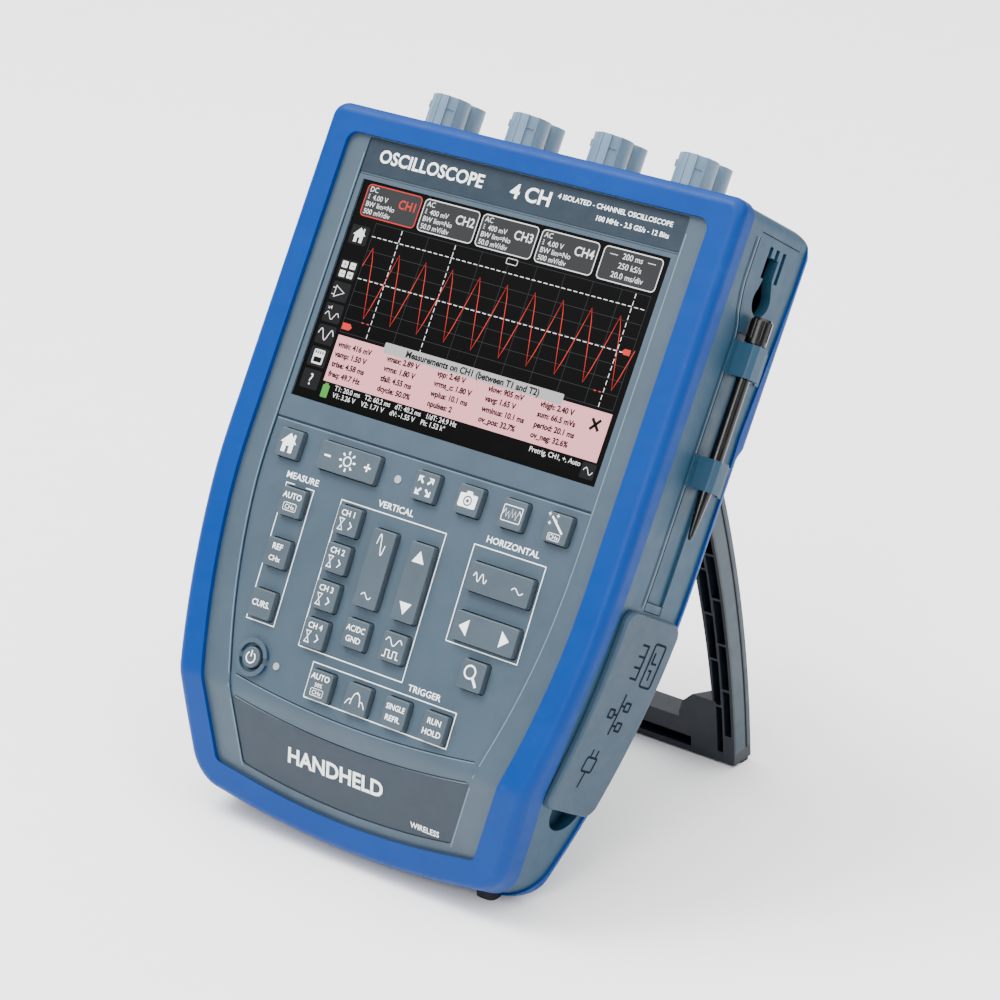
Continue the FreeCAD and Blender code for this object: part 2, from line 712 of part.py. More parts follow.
def stylus_clip(low, high):
    """Hoop over the stylus with a long foot towards the back."""
    base = side_x(low) - SHELL_INSET
    hoop = [(base, 23.0), (base + 8.4, 23.0), (base + 10.0, 25.0), (base + 10.0, 31.4),
            (base + 8.4, 33.4), (base, 33.4)]
    room = [(base - 1, 24.2), (base + 8.0, 24.2), (base + 8.9, 25.4), (base + 8.9, 31.0),
            (base + 8.0, 32.2), (base - 1, 32.2)]
    foot = box(base, base + 0.9, 32.5, 47.2, low, high)
    lip = box(base, base + 0.9, SPLIT_Y - 1.2, 23.5, low, high)
    pad_end = box(base, base + 1.6, 43.6, 46.4, low, high)
    solid = joined([along_z(hoop, [0, 1.2, 1.5, 1.5, 1.2, 0], low, high), foot, lip, pad_end])
    return solid.cut(along_z(room, [0, 0.8, 1, 1, 0.8, 0], low - 1, high + 1))


# ----------------------------------------------------------------------- stand
def stand_arc():
    """Centre and radius of the arms' outer edge, from its two ends and bulge."""
    dy = STAND_TIP[0] - STAND_TOP[0]
    dz = STAND_TIP[1] - STAND_TOP[1]
    chord = math.hypot(dy, dz)
    radius = chord ** 2 / (8 * STAND_BULGE) + STAND_BULGE / 2
    out = (-dz / chord, dy / chord)
    middle = ((STAND_TIP[0] + STAND_TOP[0]) / 2, (STAND_TIP[1] + STAND_TOP[1]) / 2)
    back = radius - STAND_BULGE
    return (middle[0] - out[0] * back, middle[1] - out[1] * back), radius


def arc_angle(point):
    centre, radius = stand_arc()
    return math.atan2(point[1] - centre[1], point[0] - centre[0])


def stand_sector(x0, x1, outer, inner, start, end):
    """Part of the bowed plate: depths in from the outer edge, two angles."""
    centre, radius = stand_arc()

    def at(depth, angle):
        r = radius - depth
        return V(x0, centre[0] + r * math.cos(angle), centre[1] + r * math.sin(angle))

    middle = (start + end) / 2
    edges = [Part.Arc(at(outer, start), at(outer, middle), at(outer, end)).toShape(),
             Part.LineSegment(at(outer, end), at(inner, end)).toShape(),
             Part.Arc(at(inner, end), at(inner, middle), at(inner, start)).toShape(),
             Part.LineSegment(at(inner, start), at(outer, start)).toShape()]
    return Part.Face(Part.Wire(edges)).extrude(V(x1 - x0, 0, 0))


def stand_frame(feet):
    centre, radius = stand_arc()
    top = arc_angle(STAND_TOP)
    tip = arc_angle(STAND_TIP)
    step = 1.0 / radius
    arm = stand_sector(ARM_IN, ARM_OUT, 0, STAND_THICK, tip, top)
    y, z = STAND_HINGE
    root_y = centre[0] + (radius - 6) * math.cos(top - 2 * step)
    root_z = centre[1] + (radius - 6) * math.sin(top - 2 * step)
    neck = along_x([(y - 1, z - 7), (root_y - 3, root_z - 6.6), (root_y + 3.6, root_z + 4.2),
                    (y - 1, z + 7)], 0, ARM_IN, ARM_OUT)
    boss = rod_x(y, z, 7.0, ARM_IN, ARM_OUT)
    arm = joined([arm, neck, boss])
    inside = [(ARM_IN - 2, STAND_TOP[1]), (ARM_IN, STAND_HINGE[1] - 12),
              (ARM_IN + ARM_TAPER, STAND_TIP[1]), (ARM_IN + ARM_TAPER, 60), (ARM_IN - 2, 60)]
    arm = arm.cut(along_y(inside, 0, 40, 220))
    for row in range(2):
        angle = tip + (5 + 9 * row) * step
        while angle < top - 28 * step:
            share = (angle + 11 * step - tip) / (top - tip)
            low_x = ARM_IN + ARM_TAPER * (1 - share) + 1.2
            high_x = ARM_OUT - 1.5
            middle_x = (low_x + high_x) / 2
            span = (low_x, middle_x - 0.6) if row == 0 else (middle_x + 0.6, high_x)
            arm = arm.cut(stand_sector(span[0], span[1], 3.4, STAND_THICK + 1, angle,
                                       angle + 22.8 * step))
            angle += 24 * step
    width = ARM_IN + ARM_TAPER + 1
    bar = stand_sector(-width, width, 0, STAND_THICK, tip, tip + 16 * step)
    corner_plate = stand_sector(ARM_IN - 14, width, 0, STAND_THICK, tip + 15 * step, tip + 30 * step)
    slant = [(ARM_IN - 15, 90), (width + 1, 90), (width + 1, 111), (ARM_IN - 12, 97)]
    corner_plate = corner_plate.common(along_y(slant, 0, 60, 220))
    frame = joined(both_sides(arm) + both_sides(corner_plate) + [bar])
    groove = stand_sector(-ARM_IN + 8, ARM_IN - 8, 6.0, STAND_THICK + 1, tip + 2.5 * step,
                          tip + 7.5 * step)
    frame = frame.cut(groove)
    for foot in feet:
        frame = frame.cut(foot)
    for hole in both_sides(rod_x(y, z, PIN_R, ARM_IN - 1, ARM_OUT + 1)):
        frame = frame.cut(hole)
    return frame


def stand_pins():
    y, z = STAND_HINGE
    return both_sides(rod_x(y, z, PIN_R, 58.2, 80.8))


def floor_pad(x, place, width, depth, height, radius):
    """Rubber pad whose underside lies on the floor plane."""
    block = box(x - width / 2, x + width / 2, -depth / 2, depth / 2, 0, height)
    block = block.makeFillet(radius, [e for e in block.Edges if abs(e.Vertexes[0].Z - e.Vertexes[1].Z) > 1])
    block.rotate(V(0, 0, 0), V(1, 0, 0), math.degrees(LEAN))
    block.translate(V(0, place[0], place[1]))
    return block


def rubber_feet():
    return [floor_pad(x, FOOT, 9.5, 8, 8.0, 3.0) for x in (-62, 62)]


def stand_feet():
    return [floor_pad(x, STAND_FOOT, 9, 6.5, 4.0, 1.5) for x in (-72, 72)]


# -------------------------------------------------------------------- assembly
def build():
    """All the sub-parts as {node: list of solids}, still upright."""
    block = bumper_block()
    cavity = body_block(CAVITY_INSET, PANEL_WALL, 1.2 + BACK_WALL)
    feet = rubber_feet()
    front = front_bumper(block)
    rear = rear_bumper(block)
    sockets = [socket_room(x) for x in SOCKET_X]
    whole_rear = rear_shell_block([front, rear], cavity, feet)
    front_side = front_shell(front, cavity, sockets)
    rear_side = largest(whole_rear.cut(cap_box(0.1)))
    cap = whole_rear.common(cap_box(0))
    for socket in sockets:
        cap = cap.cut(socket)
    for foot in feet:
        rear = rear.cut(foot)
    parts = {
        "front_shell": [front_side],
        "rear_shell": [rear_side],
        "input_panel": [cap],
        "front_bumper": [front],
        "rear_bumper": [rear.cut(cover_room()).cut(bar_channel(0.0))],
        "screen_bezel": [screen_bezel()],
        "display_glass": [display_glass()],
        "lcd_module": [lcd_module()],
        "top_label": [top_label()],
        "bottom_label": [bottom_label()],
        "keypad_membrane": [keypad_membrane()],
        "keypad_board": [keypad_board()],
        "main_board": [main_board()],
        "input_shields": input_shields(),
        "io_board": [io_board()],
        "ethernet_jack": [ethernet_jack()],
        "usb_ports": usb_ports(),
        "card_slot": [card_slot()],
        "housing_seal": [housing_seal([front_side, rear_side])],
        "battery_pack": [battery_pack()],
        "battery_door": [battery_door()],
        "housing_screws": screws(),
        "input_contacts": input_contacts(),
        "status_lamps": status_lamps(),
        "rubber_feet": feet,
        "stylus_clips": [stylus_clip(low, high) for low, high in CLIP_SPANS],
        "port_cover": [port_cover()],
        "stylus": [stylus()],
    }
    for number, x in enumerate(SOCKET_X, 1):
        parts["input_socket_%d" % number] = [input_socket(x)]
    for name, (x, z) in PLAIN_KEYS.items():
        parts[name] = [on_panel(key_solid(KEY, KEY), x, z)]
    for name, (x, z, width, height) in ROCKERS.items():
        parts[name] = [on_panel(rocker_solid(width, height), x, z)]
    parts["power_key"] = [power_key()]
    pads = stand_feet()
    parts["stand_frame"] = [stand_frame(pads)]
    parts["stand_hinge_pins"] = stand_pins()
    parts["stand_feet"] = pads
    return parts


def leant(shape):
    """Lean a shape back until the feet and the stand are level."""
    turned = shape.copy()
    turned.rotate(V(0, 0, 0), V(1, 0, 0), -math.degrees(LEAN))
    return turned


def main():
    parts = {name: [leant(s) for s in solids] for name, solids in build().items()}
    whole = Part.makeCompound([s for solids in parts.values() for s in solids])
    bounds = whole.optimalBoundingBox(False, False)
    shift = V(-bounds.Center.x, -bounds.Center.y, -bounds.ZMin)
    os.makedirs("parts", exist_ok=True)
    for name, solids in parts.items():
        for solid in solids:
            solid.translate(shift)
        shape = solids[0] if len(solids) == 1 else Part.makeCompound(solids)
        shape.exportStep("parts/%s.step" % name)
    return parts, shift


PARTS, SHIFT = main()
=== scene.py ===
"""Looks of the handheld oscilloscope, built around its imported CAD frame.

Printed and moulded detail is drawn in the instrument's own upright axes, in
millimetres: x to the right, y into its depth, z up along its body. to_row()
leans it back and places it where the CAD model stands.
"""
import json
import math

import bpy
from mathutils import Matrix, Vector


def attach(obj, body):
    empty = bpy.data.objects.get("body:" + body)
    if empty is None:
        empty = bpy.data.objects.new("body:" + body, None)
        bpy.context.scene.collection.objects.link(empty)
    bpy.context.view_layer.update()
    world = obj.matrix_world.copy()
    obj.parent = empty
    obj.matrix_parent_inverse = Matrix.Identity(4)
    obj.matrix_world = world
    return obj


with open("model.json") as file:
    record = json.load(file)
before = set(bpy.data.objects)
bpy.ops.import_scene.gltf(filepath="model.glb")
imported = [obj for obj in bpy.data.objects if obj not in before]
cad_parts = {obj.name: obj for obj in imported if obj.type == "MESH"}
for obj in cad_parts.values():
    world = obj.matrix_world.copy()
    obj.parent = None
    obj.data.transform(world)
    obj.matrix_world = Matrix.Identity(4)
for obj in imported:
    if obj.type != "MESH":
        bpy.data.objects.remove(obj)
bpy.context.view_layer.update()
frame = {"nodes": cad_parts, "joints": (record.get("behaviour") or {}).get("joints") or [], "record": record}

# ------------------------------------------------------------------ placement
JOINTS = {joint["name"]: joint for joint in frame["joints"]}
LEAN = math.asin(JOINTS["stylus_lift"]["axis"][1])
HINGE = Vector(JOINTS["stand_hinge"]["pos_m"])
HINGE_UPRIGHT = Vector((0.0, 0.046, 0.206))
TURN = Matrix.Rotation(-LEAN, 3, "X")
SHIFT = HINGE - TURN @ HINGE_UPRIGHT
MM = 0.001


def to_row(x, y, z):
    """From the instrument's upright axes in mm to the row frame in metres."""
    return TURN @ Vector((x * MM, y * MM, z * MM)) + SHIFT


# Front surface, as in the CAD model.
PANEL_Y = -1.5
BEND_Z = 135.0
CHIN_Z = 44.0
KEYPAD_SLOPE = 0.061
CHIN_SLOPE = 0.49
BEND_REACH = 14.9        # length of the soft bend on each side of BEND_Z
CHIN_REACH = 2.6
KEYPAD_TILT = math.atan(KEYPAD_SLOPE)
KEY_RISE = 3.0
GLASS_Y = -0.9            # front of the display glass


def smooth_corner(z, corner, reach, before, after):
    """Depth change round a bend that goes from one slope to another."""
    if z >= corner + reach:
        return before * (corner - z)
    if z <= corner - reach:
        return after * (corner - z)
    inside = corner + reach - z
    return -before * reach + before * inside + (after - before) * inside ** 2 / (4 * reach)


def panel_y(z):
    """Depth of the panel field at height z."""
    upper = smooth_corner(z, BEND_Z, BEND_REACH, 0.0, KEYPAD_SLOPE)
    if z > CHIN_Z + CHIN_REACH:
        return PANEL_Y + upper
    base = PANEL_Y + KEYPAD_SLOPE * (BEND_Z - CHIN_Z)
    return base + smooth_corner(z, CHIN_Z, CHIN_REACH, KEYPAD_SLOPE, CHIN_SLOPE)


def on_panel(x, z, lift):
    return to_row(x, panel_y(z) - lift, z)


def on_glass(x, z, lift):
    return to_row(x, GLASS_Y - lift, z)


def on_key(centre_x, centre_z, rise):
    """A place function for the flat top of a key."""
    tilt = KEYPAD_TILT if centre_z < BEND_Z else 0.0
    depth = PANEL_Y + max(0.0, KEYPAD_SLOPE * (BEND_Z - centre_z))

    def place(x, z, lift):
        out = rise + lift
        y = depth - out * math.cos(tilt) - z * math.sin(tilt)
        return to_row(centre_x + x, y, centre_z + z * math.cos(tilt) - out * math.sin(tilt))
    return place


SIDE_START = 145.0
SIDE_RADIUS = 415.0
HALF_WIDTH = 105.3


def side_x(z):
    if z >= SIDE_START:
        return HALF_WIDTH
    return HALF_WIDTH - SIDE_RADIUS + math.sqrt(SIDE_RADIUS ** 2 - (SIDE_START - z) ** 2)


def on_side(proud):
    """A place function for the right-hand side; its x is the depth."""
    def place(y, z, lift):
        return to_row(side_x(z) + proud + lift, y, z)
    return place


# ------------------------------------------------------------------ materials
SIDE_BLEND = (0.35, 0.75)     # how far a face turns sideways before it takes the side colour
SCUFF_AMOUNT = 0.35           # how pale the rubbed streaks get


def new_material(name):
    material = bpy.data.materials.new(name)
    material.use_nodes = True
    nodes = material.node_tree.nodes
    links = material.node_tree.links
    return material, nodes, links, nodes["Principled BSDF"]


def noise(nodes, links, scale, detail=3.0, rough=0.6):
    """Noise in object space, so that its grain keeps its real size."""
    place = nodes.new("ShaderNodeTexCoord")
    texture = nodes.new("ShaderNodeTexNoise")
    texture.inputs["Scale"].default_value = scale
    texture.inputs["Detail"].default_value = detail
    texture.inputs["Roughness"].default_value = rough
    links.new(place.outputs["Object"], texture.inputs["Vector"])
    return texture


def spread(nodes, links, source, low, high):
    """Map a 0 to 1 value onto a range."""
    ranged = nodes.new("ShaderNodeMapRange")
    ranged.inputs["To Min"].default_value = low
    ranged.inputs["To Max"].default_value = high
    ranged.inputs["From Min"].default_value = 0.3
    ranged.inputs["From Max"].default_value = 0.7
    links.new(source, ranged.inputs["Value"])
    return ranged.outputs["Result"]


def tint(nodes, links, source, dark, light):
    mix = nodes.new("ShaderNodeMix")
    mix.data_type = "RGBA"
    mix.inputs["A"].default_value = (*dark, 1)
    mix.inputs["B"].default_value = (*light, 1)
    links.new(source, mix.inputs["Factor"])
    return mix.outputs["Result"]


def grain(nodes, links, shader, scale, depth):
    """Fine moulded texture as a bump."""
    texture = noise(nodes, links, scale, 2.0, 0.5)
    bump = nodes.new("ShaderNodeBump")
    bump.inputs["Strength"].default_value = 0.35
    bump.inputs["Distance"].default_value = depth
    links.new(texture.outputs["Fac"], bump.inputs["Height"])
    links.new(bump.outputs["Normal"], shader.inputs["Normal"])


def shade(colour, factor):
    return tuple(min(1.0, c * factor) for c in colour)


def moulded(name, colour, rough=0.5, vary=0.08, scale=1400.0, depth=0.00008, metal=0.0,
            specular=0.35):
    """Plastic or rubber: mottled colour and roughness, fine moulded grain."""
    material, nodes, links, shader = new_material(name)
    cloud = noise(nodes, links, 38.0, 4.0)
    mixed = tint(nodes, links, spread(nodes, links, cloud.outputs["Fac"], 0.0, 1.0),
                 shade(colour, 1 - vary), shade(colour, 1 + vary))
    links.new(mixed, shader.inputs["Base Color"])
    smear = noise(nodes, links, 160.0, 5.0)
    links.new(spread(nodes, links, smear.outputs["Fac"], rough - 0.06, rough + 0.07),
              shader.inputs["Roughness"])
    shader.inputs["Metallic"].default_value = metal
    shader.inputs["Specular IOR Level"].default_value = specular
    if depth > 0:
        grain(nodes, links, shader, scale, depth)
    return material


def ink_and_painted_light(name, colour, rough=0.45, specular=0.35):
    """Ink, and the painted shade and highlight strips: nearly even, with a little unevenness in its cover.
    """
    return moulded(name, colour, rough, vary=0.03, depth=0.0, specular=specular)


def lit(name, colour, strength=1.0):
    """A lit area of the display, with the faint grid of its dots."""
    material, nodes, links, shader = new_material(name)
    dots = noise(nodes, links, 6000.0, 1.0)
    level = spread(nodes, links, dots.outputs["Fac"], 0.0, 1.0)
    mixed = tint(nodes, links, level, shade(colour, 0.94), colour)
    links.new(mixed, shader.inputs["Emission Color"])
    shader.inputs["Base Color"].default_value = (0.003, 0.003, 0.003, 1)
    shader.inputs["Emission Strength"].default_value = strength
    shader.inputs["Specular IOR Level"].default_value = 0.08
    shader.inputs["Roughness"].default_value = 0.3
    return material


def sideways(nodes, links):
    """0 on faces that look forward, 1 on faces that look to the sides."""
    place = nodes.new("ShaderNodeTexCoord")
    split = nodes.new("ShaderNodeSeparateXYZ")
    size = nodes.new("ShaderNodeMath")
    size.operation = "ABSOLUTE"
    links.new(place.outputs["Normal"], split.inputs["Vector"])
    links.new(split.outputs["X"], size.inputs[0])
    ranged = nodes.new("ShaderNodeMapRange")
    ranged.inputs["From Min"].default_value = SIDE_BLEND[0]
    ranged.inputs["From Max"].default_value = SIDE_BLEND[1]
    links.new(size.outputs["Value"], ranged.inputs["Value"])
    return ranged.outputs["Result"]


def two_toned(material, side_colour):
    """Give the sides of a moulding their own colour."""
    nodes = material.node_tree.nodes
    links = material.node_tree.links
    socket = nodes["Principled BSDF"].inputs["Base Color"]
    front = socket.links[0].from_socket
    mix = nodes.new("ShaderNodeMix")
    mix.data_type = "RGBA"
    mix.inputs["B"].default_value = (*side_colour, 1)
    links.new(sideways(nodes, links), mix.inputs["Factor"])
    links.new(front, mix.inputs["A"])
    links.new(mix.outputs["Result"], socket)
    return material


def scuffed(material, light):
    """Pale rubbed streaks, as on rubber that has been handled."""
    nodes = material.node_tree.nodes
    links = material.node_tree.links
    socket = nodes["Principled BSDF"].inputs["Base Color"]
    under = socket.links[0].from_socket
    streaks = noise(nodes, links, 85.0, 9.0, 0.75)
    ranged = nodes.new("ShaderNodeMapRange")
    ranged.inputs["From Min"].default_value = 0.60
    ranged.inputs["From Max"].default_value = 0.78
    ranged.inputs["To Max"].default_value = SCUFF_AMOUNT
    links.new(streaks.outputs["Fac"], ranged.inputs["Value"])
    mix = nodes.new("ShaderNodeMix")
    mix.data_type = "RGBA"
    mix.inputs["B"].default_value = (*light, 1)
    links.new(ranged.outputs["Result"], mix.inputs["Factor"])
    links.new(under, mix.inputs["A"])
    links.new(mix.outputs["Result"], socket)
    return material


PANEL_GREY = (0.036, 0.058, 0.081)
SIDE_GREY = (0.010, 0.043, 0.080)
BLUE = (0.0001, 0.031, 0.175)
SLATE = (0.007, 0.017, 0.029)
KEY_GREY = (0.040, 0.058, 0.074)
WHITE = (0.86, 0.88, 0.90)

MATERIALS = {
    "panel_grey": two_toned(moulded("panel_grey", PANEL_GREY, 0.46), SIDE_GREY),
    "case_grey": moulded("case_grey", SIDE_GREY, 0.46),
    "bumper_blue": scuffed(moulded("bumper_blue", BLUE, 0.42, vary=0.05, scale=900.0,
                                   depth=0.00005, specular=0.12), (0.01, 0.08, 0.27)),
    "bezel_grey": moulded("bezel_grey", PANEL_GREY, 0.42),
    "screen_glass": moulded("screen_glass", (0.0012, 0.0012, 0.0014), 0.12, vary=0.02, depth=0.0,
                            specular=0.12),
    "lcd_frame": moulded("lcd_frame", (0.03, 0.03, 0.032), 0.5),
    "label_slate": moulded("label_slate", SLATE, 0.4, vary=0.04),
    "membrane_rubber": moulded("membrane_rubber", (0.2, 0.22, 0.24), 0.7),
    "circuit_board": moulded("circuit_board", (0.015, 0.13, 0.05), 0.35),
    "shield_steel": moulded("shield_steel", (0.6, 0.61, 0.62), 0.32, metal=1.0),
    "seal_rubber": moulded("seal_rubber", (0.02, 0.02, 0.02), 0.8),
    "battery_wrap": moulded("battery_wrap", (0.03, 0.05, 0.09), 0.4),
    "fastener_steel": moulded("fastener_steel", (0.45, 0.46, 0.47), 0.35, metal=1.0),
    "contact_brass": moulded("contact_brass", (0.83, 0.62, 0.28), 0.28, metal=1.0),
    "lamp_clear": moulded("lamp_clear", (0.30, 0.31, 0.32), 0.15, depth=0.0),
    "foot_rubber": moulded("foot_rubber", (0.014, 0.014, 0.016), 0.75),
    "cover_rubber": moulded("cover_rubber", (0.017, 0.040, 0.068), 0.5, scale=1100.0),
    "stylus_black": moulded("stylus_black", (0.002, 0.002, 0.0025), 0.22, depth=0.0),
    "stand_plastic": moulded("stand_plastic", (0.006, 0.010, 0.017), 0.42),
    "socket_grey": moulded("socket_grey", (0.125, 0.195, 0.270), 0.3),
    "key_grey": moulded("key_grey", KEY_GREY, 0.48),
}
WHITE_INK = ink_and_painted_light("white_ink", WHITE)
# Painted shade: dark strips for the engraved symbols on the port cover and a step on the stand's side.
LINE_SHADE = ink_and_painted_light("dark_painted_shade", (0.003, 0.007, 0.012), 0.7, 0.06)
# Painted shade: dark strips along moulded grooves and steps; on the side they also mark the shell seam.
GROOVE_SHADE = ink_and_painted_light("groove_shade", (0.006, 0.013, 0.020), 0.7, 0.1)
# Painted highlight: pale strips laid along moulded edges and lips where light catches them.
RIDGE_HIGHLIGHT = ink_and_painted_light("ridge_painted_highlight", (0.105, 0.150, 0.190), 0.4)
# Painted highlight: a lighter band and rim on the stand's side flange, where it reflects the light.
STAND_HIGHLIGHT = moulded("stand_painted_highlight", (0.014, 0.034, 0.052), 0.4)

for name, node in frame["nodes"].items():
    slot = next(s["material_slot"] for s in frame["record"]["subparts"] if s["node"] == name)
    node.data.materials.clear()
    node.data.materials.append(MATERIALS[slot])


# -------------------------------------------------------------------- drawing
CAP_SHARE = 0.729             # capital height of the built-in font at size 1


class Print:
    """Flat shapes and lettering drawn in panel millimetres, made into one mesh."""

    def __init__(self, name, place, material, slot, body="housing"):
        self.name = name
        self.place = place
        self.material = material
        self.slot = slot
        self.body = body
        self.verts = []
        self.faces = []

    def polygon(self, points, lift=0.04):
        first = len(self.verts)
        self.verts += [self.place(x, z, lift) for x, z in points]
        self.faces.append(list(range(first, first + len(points))))

    def strip(self, left, right, lift=0.04):
        """Quads between two rows of points."""
        first = len(self.verts)
        count = len(left)
        self.verts += [self.place(x, z, lift) for x, z in left]
        self.verts += [self.place(x, z, lift) for x, z in right]
        for i in range(count - 1):
            self.faces.append([first + i, first + i + 1, first + count + i + 1, first + count + i])

    def line(self, points, width, closed=False, lift=0.04, step=4.0):
        """A stroke with mitred corners; long runs are cut up to follow the panel."""
        dense = []
        ring = list(points) + ([points[0]] if closed else [])
        for (x0, z0), (x1, z1) in zip(ring, ring[1:]):
            parts = max(1, int(math.hypot(x1 - x0, z1 - z0) / step))
            dense += [(x0 + (x1 - x0) * i / parts, z0 + (z1 - z0) * i / parts)
                      for i in range(parts)]
        if not closed:
            dense.append(ring[-1])
        count = len(dense)
        left = []
        right = []
        for i, (x, z) in enumerate(dense):
            before = dense[i - 1] if closed or i > 0 else None
            after = dense[(i + 1) % count] if closed or i < count - 1 else None
            sides = []
            for a, b in ((before, (x, z)), ((x, z), after)):
                if a is not None and b is not None:
                    run = math.hypot(b[0] - a[0], b[1] - a[1]) or 1.0
                    sides.append(((a[1] - b[1]) / run, (b[0] - a[0]) / run))
            nx = sum(s[0] for s in sides) / len(sides)
            nz = sum(s[1] for s in sides) / len(sides)
            size = max(nx * nx + nz * nz, 0.25)
            left.append((x + nx / size * width / 2, z + nz / size * width / 2))
            right.append((x - nx / size * width / 2, z - nz / size * width / 2))
        if closed:
            left.append(left[0])
            right.append(right[0])
        self.strip(left, right, lift)

    def rect(self, x0, x1, z0, z1, lift=0.04):
        self.polygon([(x0, z0), (x1, z0), (x1, z1), (x0, z1)], lift)

    def frame(self, x0, x1, z0, z1, radius, width, lift=0.04):
        self.line(rounded_rect(x0, x1, z0, z1, radius), width, True, lift)

    def text(self, words, x, z, size, align="CENTER", lift=0.04, wide=1.0, bold=0.0):
        """One line of lettering; size is the height of its capitals."""
        curve = bpy.data.curves.new("lettering", "FONT")
        curve.body = words
        curve.size = size / CAP_SHARE
        curve.align_x = align
        curve.offset = max(bold, 0.002) * size
        curve.resolution_u = 3
        thing = bpy.data.objects.new("lettering", curve)
        bpy.context.scene.collection.objects.link(thing)
        bpy.context.view_layer.update()
        mesh = bpy.data.meshes.new_from_object(thing.evaluated_get(
            bpy.context.evaluated_depsgraph_get()))
        first = len(self.verts)
        for vertex in mesh.vertices:
            self.verts.append(self.place(x + vertex.co.x * wide, z + vertex.co.y, lift))
        for face in mesh.polygons:
            self.faces.append([first + i for i in face.vertices])
        bpy.data.meshes.remove(mesh)
        bpy.data.objects.remove(thing)
        bpy.data.curves.remove(curve)

    def make(self):
        mesh = bpy.data.meshes.new(self.name)
        mesh.from_pydata(self.verts, [], self.faces)
        mesh.materials.append(self.material)
        mesh.update()
        piece = bpy.data.objects.new(self.name, mesh)
        bpy.context.scene.collection.objects.link(piece)
        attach(piece, self.body)
        return piece


def arc(x, z, radius, start, end, count=16):
    """Points along an arc, angles in degrees."""
    return [(x + radius * math.cos(math.radians(start + (end - start) * i / count)),
             z + radius * math.sin(math.radians(start + (end - start) * i / count)))
            for i in range(count + 1)]


def rounded_rect(x0, x1, z0, z1, radius):
    points = []
    for x, z, start in ((x1 - radius, z0 + radius, -90), (x1 - radius, z1 - radius, 0),
                        (x0 + radius, z1 - radius, 90), (x0 + radius, z0 + radius, 180)):
        points += arc(x, z, radius, start, start + 90, 5)
    return points


def wave(x0, x1, z, height, cycles, count=24):
    """Points along a sine."""
    return [(x0 + (x1 - x0) * i / count,
             z + height * math.sin(2 * math.pi * cycles * i / count)) for i in range(count + 1)]


# ------------------------------------------------------------------- key icons
LEGEND = 0.32            # stroke width of small icons


def icon_home(p, x=0.0, z=0.0, s=1.0):
    p.polygon([(x - 4.2 * s, z), (x + 4.2 * s, z), (x, z + 4.3 * s)])
    p.rect(x + 1.9 * s, x + 2.9 * s, z + 1.5 * s, z + 3.9 * s)
    p.rect(x - 2.9 * s, x - 0.8 * s, z - 4 * s, z + 0.1)
    p.rect(x + 0.8 * s, x + 2.9 * s, z - 4 * s, z + 0.1)
    p.rect(x - 0.8 * s, x + 0.8 * s, z - 1.2 * s, z + 0.1)


def icon_brightness(p):
    p.line(arc(0, 0, 1.9, 0, 360, 20)[:-1], 0.55, True)
    for turn in range(8):
        a = math.radians(turn * 45)
        p.line([(r * math.cos(a), r * math.sin(a)) for r in (2.9, 4.3)], 0.8)
    p.rect(-12.3, -9.0, -0.4, 0.4)
    p.rect(9.0, 12.4, -0.4, 0.4)
    p.rect(10.3, 11.1, -1.7, 1.7)


def icon_full_screen(p):
    for sx in (-1, 1):
        for sz in (-1, 1):
            tip = (3.9 * sx, 3.9 * sz)
            corner = [tip, (1.3 * sx, 3.9 * sz), (3.9 * sx, 1.3 * sz)]
            p.polygon(corner if sx * sz < 0 else corner[::-1])
            p.line([(1.1 * sx, 1.1 * sz), (3.0 * sx, 3.0 * sz)], 0.9)


def icon_camera(p):
    outer = rounded_rect(-4.4, 4.4, -3.1, 2.5, 0.7)
    ring = arc(0, -0.3, 2.15, -90, 270, len(outer) - 1)
    start = min(range(len(outer)), key=lambda i: abs(outer[i][0]) + abs(outer[i][1] + 3.1))
    turned = outer[start:] + outer[:start]
    p.strip(turned + [turned[0]], ring + [ring[0]])
    p.polygon([(-1.8, 2.4), (1.8, 2.4), (1.2, 3.7), (-1.2, 3.7)])
    p.line(arc(0, -0.3, 1.15, 0, 360, 16)[:-1], 0.75, True)


def icon_waveform(p):
    p.frame(-4.6, 4.6, -3.2, 3.2, 0.4, LEGEND)
    p.line([(-4.3, -0.4), (-3.4, 1.8), (-2.6, -1.6), (-1.8, 0.9), (-1.0, -2.0), (-0.2, 2.0),
            (0.6, -1.2), (1.4, 1.4), (2.3, -1.9), (3.3, 1.9), (4.3, 0.2)], LEGEND)


def icon_wand(p):
    p.line([(-3.4, 4.2), (3.3, -1.6)], 0.85)
    for x, z in ((-3.9, 1.4), (-0.9, 4.8), (-4.8, 4.9), (-1.2, 2.7)):
        p.line([(x - 0.7, z), (x + 0.7, z)], 0.3)
        p.line([(x, z - 0.7), (x, z + 0.7)], 0.3)
    p.frame(-2.9, 2.9, -5.0, -2.3, 0.6, 0.22)
    p.text("CHx", 0, -4.5, 1.8)


def icon_channel(number):
    def draw(p):
        p.text("CH %d" % number, 0, 1.9, 2.5, bold=0.02)
        p.line([(-3.6, 0.4), (-1.4, 0.4), (-3.6, -4.0), (-1.4, -4.0)], 0.3, True)
        p.rect(-3.9, -1.1, -4.35, -3.9)
        p.rect(-3.9, -1.1, 0.3, 0.75)
        p.line([(1.6, -0.2), (3.0, -1.8), (1.6, -3.4)], 0.5)
    return draw


def boxed_channel(p, z):
    p.frame(-3.4, 3.4, z - 1.6, z + 1.6, 0.7, 0.24)
    p.text("CHx", 0, z - 0.95, 1.95)


def icon_measure_auto(p):
    p.text("AUTO", 0, 1.4, 2.6, bold=0.02)
    boxed_channel(p, -2.1)


def icon_measure_ref(p):
    p.text("REF", 0, 1.4, 2.6, bold=0.02)
    p.text("CHx", 0, -3.5, 2.3, bold=0.02)


def icon_cursors(p):
    p.text("CURS.", 0, -1.2, 2.7, wide=0.95, bold=0.02)


def icon_coupling(p):
    p.text("AC/DC", 0, 1.0, 2.5, wide=0.9, bold=0.02)
    p.text("GND", 0, -3.4, 2.5, bold=0.02)


